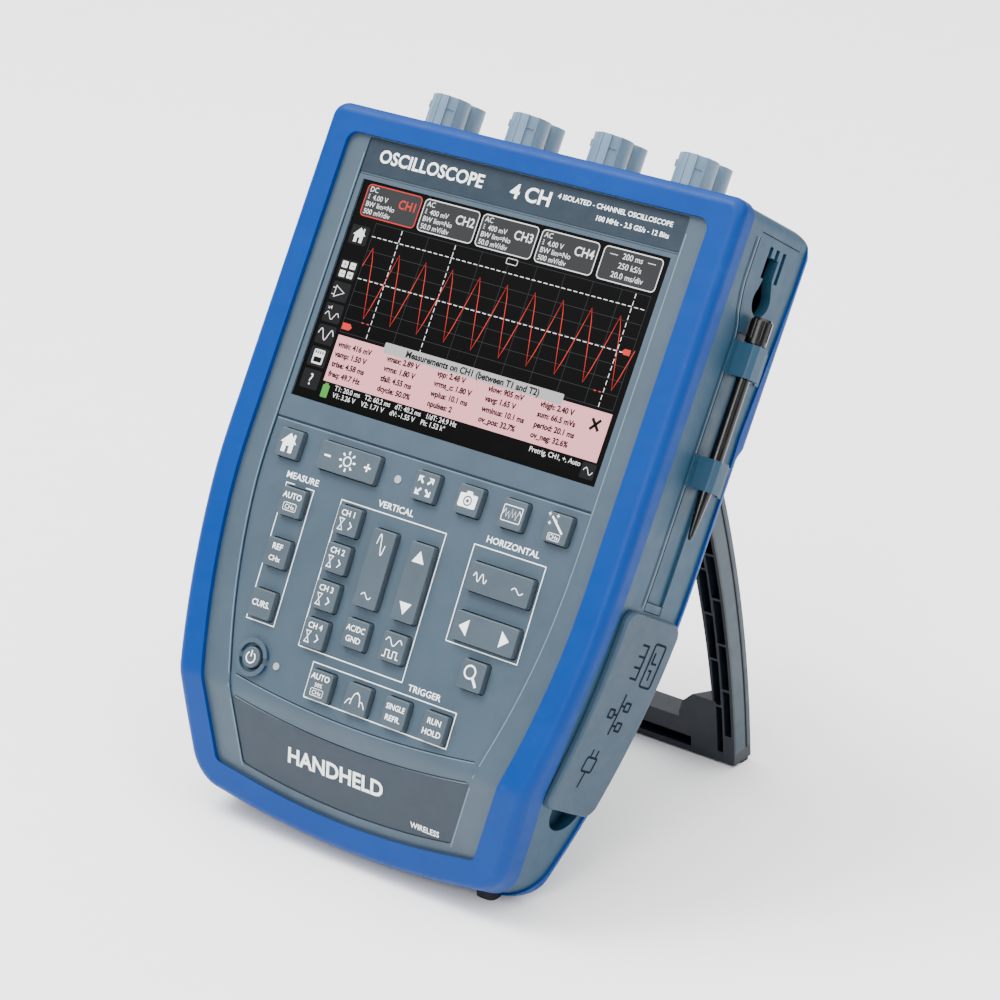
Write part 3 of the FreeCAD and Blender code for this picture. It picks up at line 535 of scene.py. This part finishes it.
def icon_math(p):
    p.line(wave(-4.2, 4.2, 2.2, 1.5, 1.5), 0.42)
    p.line([(-4.2, -4.2), (-2.8, -4.2), (-2.8, -1.4), (-0.9, -1.4), (-0.9, -4.2), (1.0, -4.2),
            (1.0, -1.4), (2.9, -1.4), (2.9, -4.2), (4.2, -4.2)], 0.42)


def icon_zoom(p):
    p.line(arc(-1.0, 1.2, 2.6, 0, 360, 24)[:-1], 0.75, True)
    p.line([(0.9, -0.8), (3.4, -4.0)], 1.15)


def icon_trigger_auto(p):
    p.text("AUTO", 0, 2.2, 2.5, bold=0.02)
    p.text("50%", 0, -0.8, 1.75)
    p.frame(-3.2, 3.2, -4.5, -1.6, 0.6, 0.22)
    p.text("CHx", 0, -3.95, 1.8)


def icon_trigger_slope(p):
    p.line([(-5.0, -3.0), (-4.2, -1.6), (-3.4, -0.6), (-2.4, -0.6)], 0.4)
    p.line([(-2.4, -2.6), (-2.2, -0.6), (-1.3, 1.8), (-0.3, 2.5)], 0.4)
    p.line([(0.3, 2.5), (1.3, 1.8), (2.2, -0.6), (2.4, -2.6)], 0.4)
    p.line([(2.4, -0.6), (3.4, -0.6), (4.2, -1.6), (5.0, -3.0)], 0.4)
    p.rect(-0.4, 0.4, 2.1, 2.9)


def icon_single(p):
    p.text("SINGLE", 0, 1.1, 2.35, wide=0.92, bold=0.02)
    p.text("REFR.", 0, -3.4, 2.4, bold=0.02)


def icon_run(p):
    p.text("RUN", 0, 1.1, 2.5, bold=0.02)
    p.text("HOLD", 0, -3.4, 2.5, bold=0.02)


def icon_power(p):
    p.line(arc(0, -0.1, 2.3, 122, 418, 24), 0.55)
    p.rect(-0.28, 0.28, 0.3, 3.0)


def icon_sensitivity(p):
    p.line(wave(-2.2, 2.2, 10.2, 4.2, 1.0), 0.4)
    p.line(wave(-2.6, 2.6, -11.4, 1.1, 1.0), 0.4)


def icon_position(p):
    p.polygon([(-3.1, 8.2), (3.1, 8.2), (0, 13.2)])
    p.polygon([(-3.1, -8.4), (0, -13.4), (3.1, -8.4)])


def icon_time_base(p):
    p.line(wave(-12.6, -6.0, 0.2, 1.7, 2.0, 32), 0.4)
    p.line(wave(6.6, 12.4, -0.4, 1.0, 1.0), 0.4)


def icon_time_position(p):
    p.polygon([(-12.6, 0), (-8.2, -3.4), (-8.2, 3.4)])
    p.polygon([(12.6, 0), (8.2, 3.4), (8.2, -3.4)])


UPPER_ROW = 146.8
KEYS = {
    "home_key": (-69.6, UPPER_ROW, icon_home),
    "brightness_rocker": (-37.5, UPPER_ROW, icon_brightness),
    "full_screen_key": (3.3, UPPER_ROW, icon_full_screen),
    "screenshot_key": (25.7, UPPER_ROW, icon_camera),
    "waveform_key": (48.1, UPPER_ROW, icon_waveform),
    "auto_setup_key": (70.2, UPPER_ROW, icon_wand),
    "measure_auto_key": (-59.0, 124.1, icon_measure_auto),
    "measure_ref_key": (-59.0, 102.4, icon_measure_ref),
    "cursors_key": (-59.0, 80.5, icon_cursors),
    "channel_1_key": (-28.6, 124.0, icon_channel(1)),
    "channel_2_key": (-28.6, 108.1, icon_channel(2)),
    "channel_3_key": (-28.6, 92.2, icon_channel(3)),
    "channel_4_key": (-28.6, 76.3, icon_channel(4)),
    "coupling_key": (-8.6, 81.5, icon_coupling), "math_key": (11.4, 81.5, icon_math),
    "zoom_key": (52.0, 81.5, icon_zoom),
    "trigger_auto_key": (-18.6, 57.0, icon_trigger_auto),
    "trigger_slope_key": (1.4, 57.0, icon_trigger_slope),
    "single_key": (21.4, 57.0, icon_single), "run_key": (41.4, 57.0, icon_run),
    "sensitivity_rocker": (-8.6, 109.0, icon_sensitivity),
    "position_rocker": (11.4, 108.7, icon_position),
    "time_base_rocker": (52.0, 119.0, icon_time_base),
    "time_position_rocker": (52.0, 98.8, icon_time_position),
}
POWER_KEY = (-56.9, 58.3)
POWER_RISE = 2.0


def make_legends():
    for name, (x, z, draw) in KEYS.items():
        legend = Print(name + "_legend", on_key(x, z, KEY_RISE), WHITE_INK, "key_grey", name)
        draw(legend)
        legend.make()
    legend = Print("power_key_legend", on_key(*POWER_KEY, POWER_RISE), WHITE_INK, "key_grey",
                   "power_key")
    icon_power(legend)
    legend.make()


# --------------------------------------------------------------------- display
SCREEN = {
    "white": lit("screen_white", (0.92, 0.93, 0.95), 2.0),
    "grey": lit("screen_grey", (0.16, 0.17, 0.18), 0.42),
    "tile": lit("screen_tile", (0.035, 0.037, 0.04), 0.5),
    "pale": lit("screen_pale", (0.6, 0.6, 0.62), 1.4),
    "pink": lit("screen_pink", (0.95, 0.4, 0.44), 2.0),
    "black": lit("screen_black", (0.001, 0.001, 0.001), 0.05),
    "red": lit("screen_red", (0.85, 0.045, 0.035), 1.6),
    "green": lit("screen_green", (0.1, 0.55, 0.08), 1.2),
}
CHANNEL_BOXES = (
    (-75.6, -46.7, "red", "CH1", ("DC", "4.00 V", "BW lim=No", "500 mV/div")),
    (-44.9, -16.3, "white", "CH2", ("AC", "400 mV", "BW lim=No", "50.0 mV/div")),
    (-14.4, 14.1, "white", "CH3", ("AC", "400 mV", "BW lim=No", "50.0 mV/div")),
    (16.1, 44.7, "white", "CH4", ("AC", "4.00 V", "BW lim=No", "500 mV/div")),
)
BOX_LOW = 246.4
BOX_HIGH = 259.9
GRID = (-65.6, 75.4, 197.4, 244.6)
MEASURED = (
    ("vmin: 416 mV", "vmax: 2.89 V", "vpp: 2.48 V", "vlow: 905 mV", "vhigh: 2.40 V"),
    ("vamp: 1.50 V", "vrms: 1.80 V", "vrms_c: 1.80 V", "vavg: 1.65 V", "sum: 66.5 mVs"),
    ("trise: 4.58 ms", "tfall: 4.55 ms", "wplus: 10.1 ms", "wminus: 10.1 ms", "period: 20.1 ms"),
    ("freq: 49.7 Hz", "dcycle: 50.0%", "npulses: 2", "ov_pos: 32.7%", "ov_neg: 32.6%"),
)
MEASURED_X = (-64.1, -37.7, -11.1, 15.4, 41.9)
MEASURED_Z = (191.2, 187.0, 182.7, 178.4)
PERIOD = 14.2
CYCLE = ((0.0, 234.3), (1.7, 229.0), (4.2, 217.4), (6.9, 204.9), (8.7, 210.7), (11.6, 222.4))


def screen_print(colour, name):
    return Print("screen_" + name, on_glass, SCREEN[colour], "screen_glass")


def make_screen_panels():
    grey = screen_print("grey", "box_fill")
    for x0, x1 in [box[:2] for box in CHANNEL_BOXES] + [(47.3, 75.9)]:
        grey.polygon(rounded_rect(x0, x1, BOX_LOW, BOX_HIGH, 1.8), 0.03)
        grey.polygon(rounded_rect(x0 + 1.0, x1 - 1.0, 255.5, BOX_HIGH - 0.6, 1.4), 0.035)
    grey.make()
    tile = screen_print("tile", "icon_tiles")
    for z in (238.0, 222.8, 213.2, 203.8, 194.3, 184.6, 175.0):
        tile.polygon(rounded_rect(-76.9, -67.5, z - 4.1, z + 4.1, 0.8), 0.03)
    tile.polygon(rounded_rect(69.9, 76.6, 168.8, 175.2, 0.6), 0.03)
    tile.make()
    pink = screen_print("pink", "results_panel")
    pink.rect(-65.6, 75.9, 176.0, 196.0, 0.06)
    pink.make()
    tab = screen_print("pale", "results_title_tab")
    tab.polygon(rounded_rect(-41.0, 51.3, 193.9, 198.4, 0.6), 0.11)
    tab.make()


def make_grid():
    x0, x1, z0, z1 = GRID
    grey = screen_print("grey", "grid")
    for i in range(11):
        x = x0 + (x1 - x0) * i / 10
        grey.rect(x - 0.09, x + 0.09, z0, z1, 0.03)
    for i in range(9):
        z = z0 + (z1 - z0) * i / 8
        grey.rect(x0, x1, z - 0.09, z + 0.09, 0.031)
    grey.make()
    white = screen_print("white", "cursors")
    for x in (-51.4, -23.1, 68.3):
        z = z0
        while z < z1 - 1.5:
            white.rect(x - 0.16, x + 0.16, z, z + 1.9, 0.05)
            z += 3.0
    for z in (238.9, 220.6):
        x = x0
        while x < x1 - 1.5:
            white.rect(x, x + 1.9, z - 0.16, z + 0.16, 0.051)
            x += 3.0
    white.frame(3.6, 9.0, 242.6, 244.9, 0.5, 0.25, 0.06)
    white.make()


def make_trace():
    red = screen_print("red", "trace")
    points = [(x0 + PERIOD * n, z) for n in range(10) for x0, z in
              [(-63.0 + dx, z) for dx, z in CYCLE]]
    red.line([(-65.4, 226.0)] + points, 0.34, lift=0.09, step=40)
    red.polygon([(-65.4, 201.4), (-61.4, 201.4), (-60.2, 200.0), (-61.4, 198.6),
                 (-65.4, 198.6)], 0.1)
    red.polygon([(74.6, 222.2), (71.6, 222.2), (70.6, 221.0), (71.6, 219.8), (74.6, 219.8)], 0.1)
    x0, x1, _, name, _ = CHANNEL_BOXES[0]
    red.frame(x0, x1, BOX_LOW, BOX_HIGH, 1.8, 0.45, 0.06)
    red.text(name, x1 - 1.2, 252.9, 3.9, "RIGHT", 0.06, 0.95, 0.02)
    for x in (-56.0, -53.2, 64.0, 66.4):
        red.rect(x - 0.2, x + 0.8, 203.0, 203.5, 0.1)
    red.make()


def make_screen_text():
    white = screen_print("white", "text")
    for x0, x1, edge, name, rows in CHANNEL_BOXES:
        if edge == "white":
            white.frame(x0, x1, BOX_LOW, BOX_HIGH, 1.8, 0.4, 0.06)
            white.text(name, x1 - 1.2, 252.9, 3.9, "RIGHT", 0.06, 0.95, 0.02)
        for i, words in enumerate(rows):
            indent = 2.6 if i == 1 else 0.0
            white.text(words, x0 + 1.3 + indent, 256.9 - 3.15 * i, 2.3, "LEFT", 0.06, 0.98)
        for dz in (0.0, 0.8, 1.6):
            white.rect(x0 + 1.5, x0 + 2.2, 253.9 + dz, 254.2 + dz, 0.06)
    white.frame(47.3, 75.9, BOX_LOW, BOX_HIGH, 1.8, 0.4, 0.06)
    for words, z in (("200 ms", 256.2), ("250 kS/s", 252.2), ("20.0 ms/div", 248.2)):
        white.text(words, 61.6, z, 2.5, lift=0.06)
    white.line([(50.4, 257.2), (54.2, 257.2)], 0.25, lift=0.06)
    white.line([(69.0, 257.2), (72.8, 257.2)], 0.25, lift=0.06)
    for words, x, z in (("T1: 20.0 ms   T2: 60.2 ms   dT: 40.2 ms   1/dT: 24.9 Hz", -58.6, 173.3),
                        ("V1: 3.26 V    V2: 1.71 V    dV: -1.55 V    Ph: 1.52 k\u00b0",
                         -58.6, 170.3)):
        white.text(words, x, z, 2.2, "LEFT", 0.06, 0.96)
    white.text("Pretrig, CH1, +, Auto", 69.0, 172.9, 2.2, "RIGHT", 0.06, 0.96)
    white.line(wave(71.0, 75.6, 172.0, 1.3, 1.0, 12), 0.3, lift=0.07, step=40)
    white.make()


def make_screen_icons():
    white = screen_print("white", "icons")
    icon_home(white, -72.2, 238.0, 0.78)
    for x, z in ((-74.3, 224.8), (-70.1, 224.8), (-74.3, 220.8), (-70.1, 220.8)):
        white.polygon(rounded_rect(x - 1.5, x + 1.5, z - 1.4, z + 1.4, 0.3), 0.05)
    white.line([(-74.8, 210.6), (-74.8, 215.4), (-70.0, 213.0)], 0.3, True, 0.05)
    white.line([(-76.3, 211.6), (-74.8, 211.6)], 0.3, lift=0.05)
    white.line([(-76.3, 214.4), (-74.8, 214.4)], 0.3, lift=0.05)
    white.text("x4", -74.4, 205.3, 1.6, lift=0.05)
    white.line(wave(-76.0, -68.6, 202.6, 1.5, 1.5), 0.3, lift=0.05, step=40)
    white.line(wave(-76.2, -68.2, 194.4, 2.3, 1.5), 0.36, lift=0.05, step=40)
    white.polygon(rounded_rect(-74.9, -69.3, 181.6, 187.8, 0.6), 0.05)
    white.text("?", -72.2, 172.6, 5.2, lift=0.05)
    white.make()
    dark = screen_print("black", "icon_marks")
    for x, z in ((-74.3, 224.8), (-70.1, 224.8), (-74.3, 220.8), (-70.1, 220.8)):
        dark.rect(x - 0.9, x + 0.9, z - 0.15, z + 0.15, 0.08)
    for x, z in ((-74.3, 224.8), (-70.1, 220.8)):
        dark.rect(x - 0.15, x + 0.15, z - 0.9, z + 0.9, 0.081)
    for i in range(4):
        dark.rect(-74.2 + 1.2 * i, -73.6 + 1.2 * i, 186.0, 187.3, 0.08)
    dark.rect(-74.2, -70.0, 182.4, 184.6, 0.08)
    dark.make()
    green = screen_print("green", "battery_level")
    green.polygon(rounded_rect(-64.9, -61.3, 169.2, 174.6, 0.4), 0.06)
    green.rect(-64.0, -62.2, 174.5, 175.3, 0.06)
    green.make()


def make_results():
    dark = screen_print("black", "results_text")
    dark.text("Measurements on CH1 (between T1 and T2)", 5.2, 194.8, 2.8, lift=0.18, wide=0.98,
              bold=0.05)
    for row, z in zip(MEASURED, MEASURED_Z):
        for words, x in zip(row, MEASURED_X):
            dark.text(words, x, z, 2.4, "LEFT", 0.16, 0.97, 0.06)
    for end in ((2.1, 2.3), (2.1, -2.3)):
        dark.line([(69.7 - end[0], 190.3 - end[1]), (69.7 + end[0], 190.3 + end[1])], 1.3,
                  lift=0.09)
    dark.make()


# -------------------------------------------------------------- panel printing
def make_panel_print():
    p = Print("panel_print", on_panel, WHITE_INK, "panel_grey")
    stroke = 0.42
    p.line([(-62, 131.3), (-66.5, 131.3), (-66.5, 73.0), (-51.5, 73.0), (-51.5, 131.3),
            (-56, 131.3)], stroke)
    p.line([(-36.5, 69.4), (-36.5, 131.5), (18.7, 131.5), (18.7, 69.4), (-36.5, 69.4)], stroke)
    p.line([(33.3, 91.2), (33.3, 131.2), (69.3, 131.2), (69.3, 91.2), (33.3, 91.2)], stroke)
    p.line([(-26.6, 50.4), (-26.6, 65.2), (48.4, 65.2), (48.4, 50.4), (-26.6, 50.4)], stroke)
    for words, x, z in (("MEASURE", -59, 133.4), ("VERTICAL", -8.9, 133.6),
                        ("HORIZONTAL", 51.4, 133.4), ("TRIGGER", 30.7, 67.2)):
        p.text(words, x, z, 2.75, wide=1.1, bold=0.02)
    p.text("OSCILLOSCOPE", -74.5, 269.6, 5.6, "LEFT", 0.34, 1.02, 0.03)
    p.text("4 CH", -5.0, 268.9, 6.2, "LEFT", 0.34, 1.1, 0.03)
    p.text("4 ISOLATED - CHANNEL OSCILLOSCOPE", 75.0, 273.2, 2.15, "RIGHT", 0.34, 1.06, 0.02)
    p.text("100 MHz - 2.5 GS/s - 12 Bits", 75.0, 268.4, 2.15, "RIGHT", 0.34, 1.06, 0.02)
    p.text("HANDHELD", -6.0, 22.6, 6.2, lift=0.45, wide=1.12, bold=0.04)
    p.text("WIRELESS", 42.0, 15.6, 2.3, lift=0.45, wide=1.1, bold=0.02)
    p.make()


# ------------------------------------------------------------- moulded outlines, as painted shade and highlight
FIELD_HALF = 82.0
FIELD_START = 145.0
FIELD_RADIUS = 292.0
FIELD_END = 60.0
FIELD_TURN = math.tan(math.radians(17.0))


def field_half(z):
    """Half width of the recessed panel field."""
    if z >= FIELD_START:
        return FIELD_HALF
    if z >= FIELD_END:
        return FIELD_HALF - FIELD_RADIUS + math.sqrt(FIELD_RADIUS ** 2 - (FIELD_START - z) ** 2)
    return field_half(FIELD_END) - (FIELD_END - z) * FIELD_TURN


def sagging(z_side, z_middle, half):
    """Points of a line that sags towards the middle of the panel."""
    return [(half * t / 12, z_middle + (z_side - z_middle) * (t / 12) ** 2)
            for t in range(-12, 13)]


def make_moulded_lines():
    # Dark strips along the field's edge and the panel's steps: painted shade in grooves and under steps.
    dark = Print("painted_groove_shade", on_panel, GROOVE_SHADE, "panel_grey")
    # The pale strips beside them are painted highlight on the ridges and edges.
    light = Print("painted_ridge_highlights", on_panel, RIDGE_HIGHLIGHT, "panel_grey")
    heights = list(range(14, 278, 6))
    for side in (-1, 1):
        edge = [(side * (field_half(z) - 0.1), z) for z in heights]
        dark.line(edge, 0.35, lift=0.02, step=40)
        light.line([(x + side * 0.7, z) for x, z in edge], 0.5, lift=0.86, step=40)
    # Across the top of the keypad recess: a painted shadow of the raised part above, with a painted
    # highlight on its edge.
    dark.line([(-FIELD_HALF + 0.4, 156.6), (FIELD_HALF - 0.4, 156.6)], 0.5, lift=0.03)
    light.line([(-FIELD_HALF + 0.4, 155.9), (FIELD_HALF - 0.4, 155.9)], 0.4, lift=0.03)
    for z_side, z_middle, half in ((49.7, 45.4, 63.4), (41.0, 36.5, 61.5)):
        dark.line(sagging(z_side, z_middle, half), 0.4, lift=0.03, step=40)
        light.line([(x, z - 0.6) for x, z in sagging(z_side, z_middle, half)], 0.35,
                   lift=0.03, step=40)
    dark.make()
    light.make()


# ----------------------------------------------------------- right-hand details
COVER_PROUD = 2.2
SHELL_PROUD = -1.0
SIDE_LIFT = 0.12         # clears the facets of the curved side


def make_side_lines():
    # Dark strips: the shell seam, and painted shade beside the lip and in the grooves.
    dark = Print("side_seam_and_shade", on_side(SHELL_PROUD), GROOVE_SHADE, "panel_grey")
    # Pale strips along the lip in front of the seam: painted highlight.
    light = Print("side_painted_highlights", on_side(SHELL_PROUD), RIDGE_HIGHLIGHT, "panel_grey")
    seam = [(15.5, 280), (15.5, 262), (16.3, 257), (18.2, 250), (20.6, 245.5), (21.7, 241),
            (21.7, 128)]
    dark.line(seam, 0.5, lift=SIDE_LIFT, step=5)
    light.line([(y - 1.0, z) for y, z in seam], 0.7, lift=SIDE_LIFT + 0.03, step=5)
    dark.line([(y - 2.6, z) for y, z in seam], 0.35, lift=SIDE_LIFT + 0.02, step=5)
    dark.line([(16.0, 282.5), (46.5, 282.5)], 0.4, lift=SIDE_LIFT, step=5)
    dark.line([(21.7, 130.9), (34.0, 130.9), (34.0, 127.2), (21.7, 127.2)], 0.35, lift=SIDE_LIFT)
    dark.make()
    light.make()


MARK = 0.95              # stroke of the cover's marks


def make_cover_marks():
    """Generic symbols for the card, network and data ports behind the cover, drawn as dark strips: painted
    shade in their engraving.
    """
    p = Print("port_cover_marks", on_side(COVER_PROUD), LINE_SHADE, "cover_rubber", "port_cover")

    def stroke(*points):
        p.line(list(points), MARK, lift=SIDE_LIFT)

    def outline(y0, y1, z0, z1, radius):
        p.frame(y0, y1, z0, z1, radius, MARK, SIDE_LIFT)

    outline(34.6, 42.4, 98.5, 116.5, 1.2)
    stroke((38.5, 101.5), (38.5, 105.5), (36.6, 105.5))
    stroke((40.2, 108.5), (36.8, 108.5), (36.8, 113.0))
    stroke((30.4, 100.0), (30.4, 115.0))
    for z in (100.5, 105.2, 109.8, 114.5):
        stroke((30.4, z), (25.8, z))
    stroke((29.0, 76.5), (29.0, 94.0))
    for y, z in ((33.4, 89.0), (24.6, 85.0), (33.4, 80.5)):
        outline(y - 1.7, y + 1.7, z - 1.7, z + 1.7, 0.3)
        stroke((29.0, z), (y - math.copysign(1.7, y - 29.0), z))
    stroke((27.0, 53.0), (27.0, 60.0))
    outline(23.6, 30.4, 60.0, 66.0, 0.8)
    for y in (25.2, 28.8):
        stroke((y, 66.0), (y, 69.5))
    p.make()


# ----------------------------------------------------------------------- stand
STAND_TOP = (58.0, 213.0)
STAND_TIP = (184.6, 84.3)
STAND_BULGE = 8.0
STAND_SIDE = 77.0


def stand_point(offset, share):
    """A point on the stand's side: mm in from its outer edge, share of its length."""
    dy = STAND_TIP[0] - STAND_TOP[0]
    dz = STAND_TIP[1] - STAND_TOP[1]
    chord = math.hypot(dy, dz)
    radius = chord ** 2 / (8 * STAND_BULGE) + STAND_BULGE / 2
    out = (-dz / chord, dy / chord)
    back = radius - STAND_BULGE
    centre = ((STAND_TIP[0] + STAND_TOP[0]) / 2 - out[0] * back,
              (STAND_TIP[1] + STAND_TOP[1]) / 2 - out[1] * back)
    top = math.atan2(STAND_TOP[1] - centre[1], STAND_TOP[0] - centre[0])
    tip = math.atan2(STAND_TIP[1] - centre[1], STAND_TIP[0] - centre[0])
    angle = top + (tip - top) * share
    reach = radius - offset
    return centre[0] + reach * math.cos(angle), centre[1] + reach * math.sin(angle)


def make_stand_sides():
    for side, name in ((1, "right"), (-1, "left")):
        def place(y, z, lift, side=side):
            return to_row(side * (STAND_SIDE + lift), y, z)
        strip = Print("stand_painted_highlight_" + name, place, STAND_HIGHLIGHT, "stand_plastic", "stand")
        inner = Print("stand_shade_line_" + name, place, LINE_SHADE, "stand_plastic", "stand")
        # The light band and rim are painted highlight on the flange; the dark line between them is painted
        # shade.
        shares = [0.03 + 0.94 * i / 24 for i in range(25)]
        near = [stand_point(4.2, t) for t in shares]
        far = [stand_point(11.0, t) for t in shares]
        strip.strip(near, far, 0.04)
        inner.line([stand_point(3.2, t) for t in shares], 0.9, lift=0.05, step=40)
        rim = [stand_point(1.3, t) for t in shares]
        strip.line(rim, 1.6, lift=0.045, step=40)
        strip.make()
        inner.make()


# --------------------------------------------------------------------- camera
CAMERA_PLACE = (850.6, -1169.3, 115.3)
CAMERA_AIM = (23.3, 20.2, 151.5)
LENS = 129.1


def make_camera():
    data = bpy.data.cameras.new("camera")
    data.lens = LENS
    data.sensor_width = 36.0
    camera = bpy.data.objects.new("camera", data)
    place = to_row(*CAMERA_PLACE)
    aim = to_row(*CAMERA_AIM)
    camera.location = place
    camera.rotation_euler = (aim - place).to_track_quat("-Z", "Y").to_euler()
    bpy.context.scene.collection.objects.link(camera)
    bpy.context.scene.camera = camera


def area_light(name, place, aim, size, power):
    data = bpy.data.lights.new(name, "AREA")
    data.shape = "RECTANGLE"
    data.size = size[0]
    data.size_y = size[1]
    data.energy = power
    lamp = bpy.data.objects.new(name, data)
    lamp.location = place
    lamp.rotation_euler = (Vector(aim) - Vector(place)).to_track_quat("-Z", "Y").to_euler()
    bpy.context.scene.collection.objects.link(lamp)


WALL_LEVEL = 0.35
CEILING_LEVEL = 3.9


def make_world():
    """Studio surround: a bright ceiling over darker walls."""
    world = bpy.data.worlds.new("studio")
    world.use_nodes = True
    nodes = world.node_tree.nodes
    links = world.node_tree.links
    place = nodes.new("ShaderNodeTexCoord")
    split = nodes.new("ShaderNodeSeparateXYZ")
    level = nodes.new("ShaderNodeMapRange")
    level.interpolation_type = "SMOOTHSTEP"
    level.inputs["From Min"].default_value = 0.35
    level.inputs["From Max"].default_value = 0.85
    level.inputs["To Min"].default_value = WALL_LEVEL
    level.inputs["To Max"].default_value = CEILING_LEVEL
    links.new(place.outputs["Generated"], split.inputs["Vector"])
    links.new(split.outputs["Z"], level.inputs["Value"])
    links.new(level.outputs["Result"], nodes["Background"].inputs["Strength"])
    nodes["Background"].inputs["Color"].default_value = (1, 1, 1, 1)
    bpy.context.scene.world = world


def make_lights():
    aim = (0, 0, 0.13)
    area_light("key_light", (-0.9, -0.5, 2.1), aim, (1.0, 1.0), 55)
    area_light("front_light", (0.5, -2.4, 1.5), aim, (1.0, 0.8), 34)
    area_light("side_light", (1.9, -0.6, 1.3), aim, (0.9, 0.9), 7)


def make_floor():
    mesh = bpy.data.meshes.new("floor")
    mesh.from_pydata([(-6, -6, 0), (6, -6, 0), (6, 6, 0), (-6, 6, 0)], [], [(0, 1, 2, 3)])
    mesh.materials.append(moulded("floor_paint", (0.93, 0.93, 0.93), 0.8, vary=0.01, depth=0.0))
    floor = bpy.data.objects.new("floor", mesh)
    bpy.context.scene.collection.objects.link(floor)


make_camera()
make_world()
make_lights()
make_floor()
make_legends()
make_panel_print()
make_moulded_lines()
make_side_lines()
make_cover_marks()
make_stand_sides()
make_screen_panels()
make_grid()
make_trace()
make_screen_text()
make_screen_icons()
make_results()
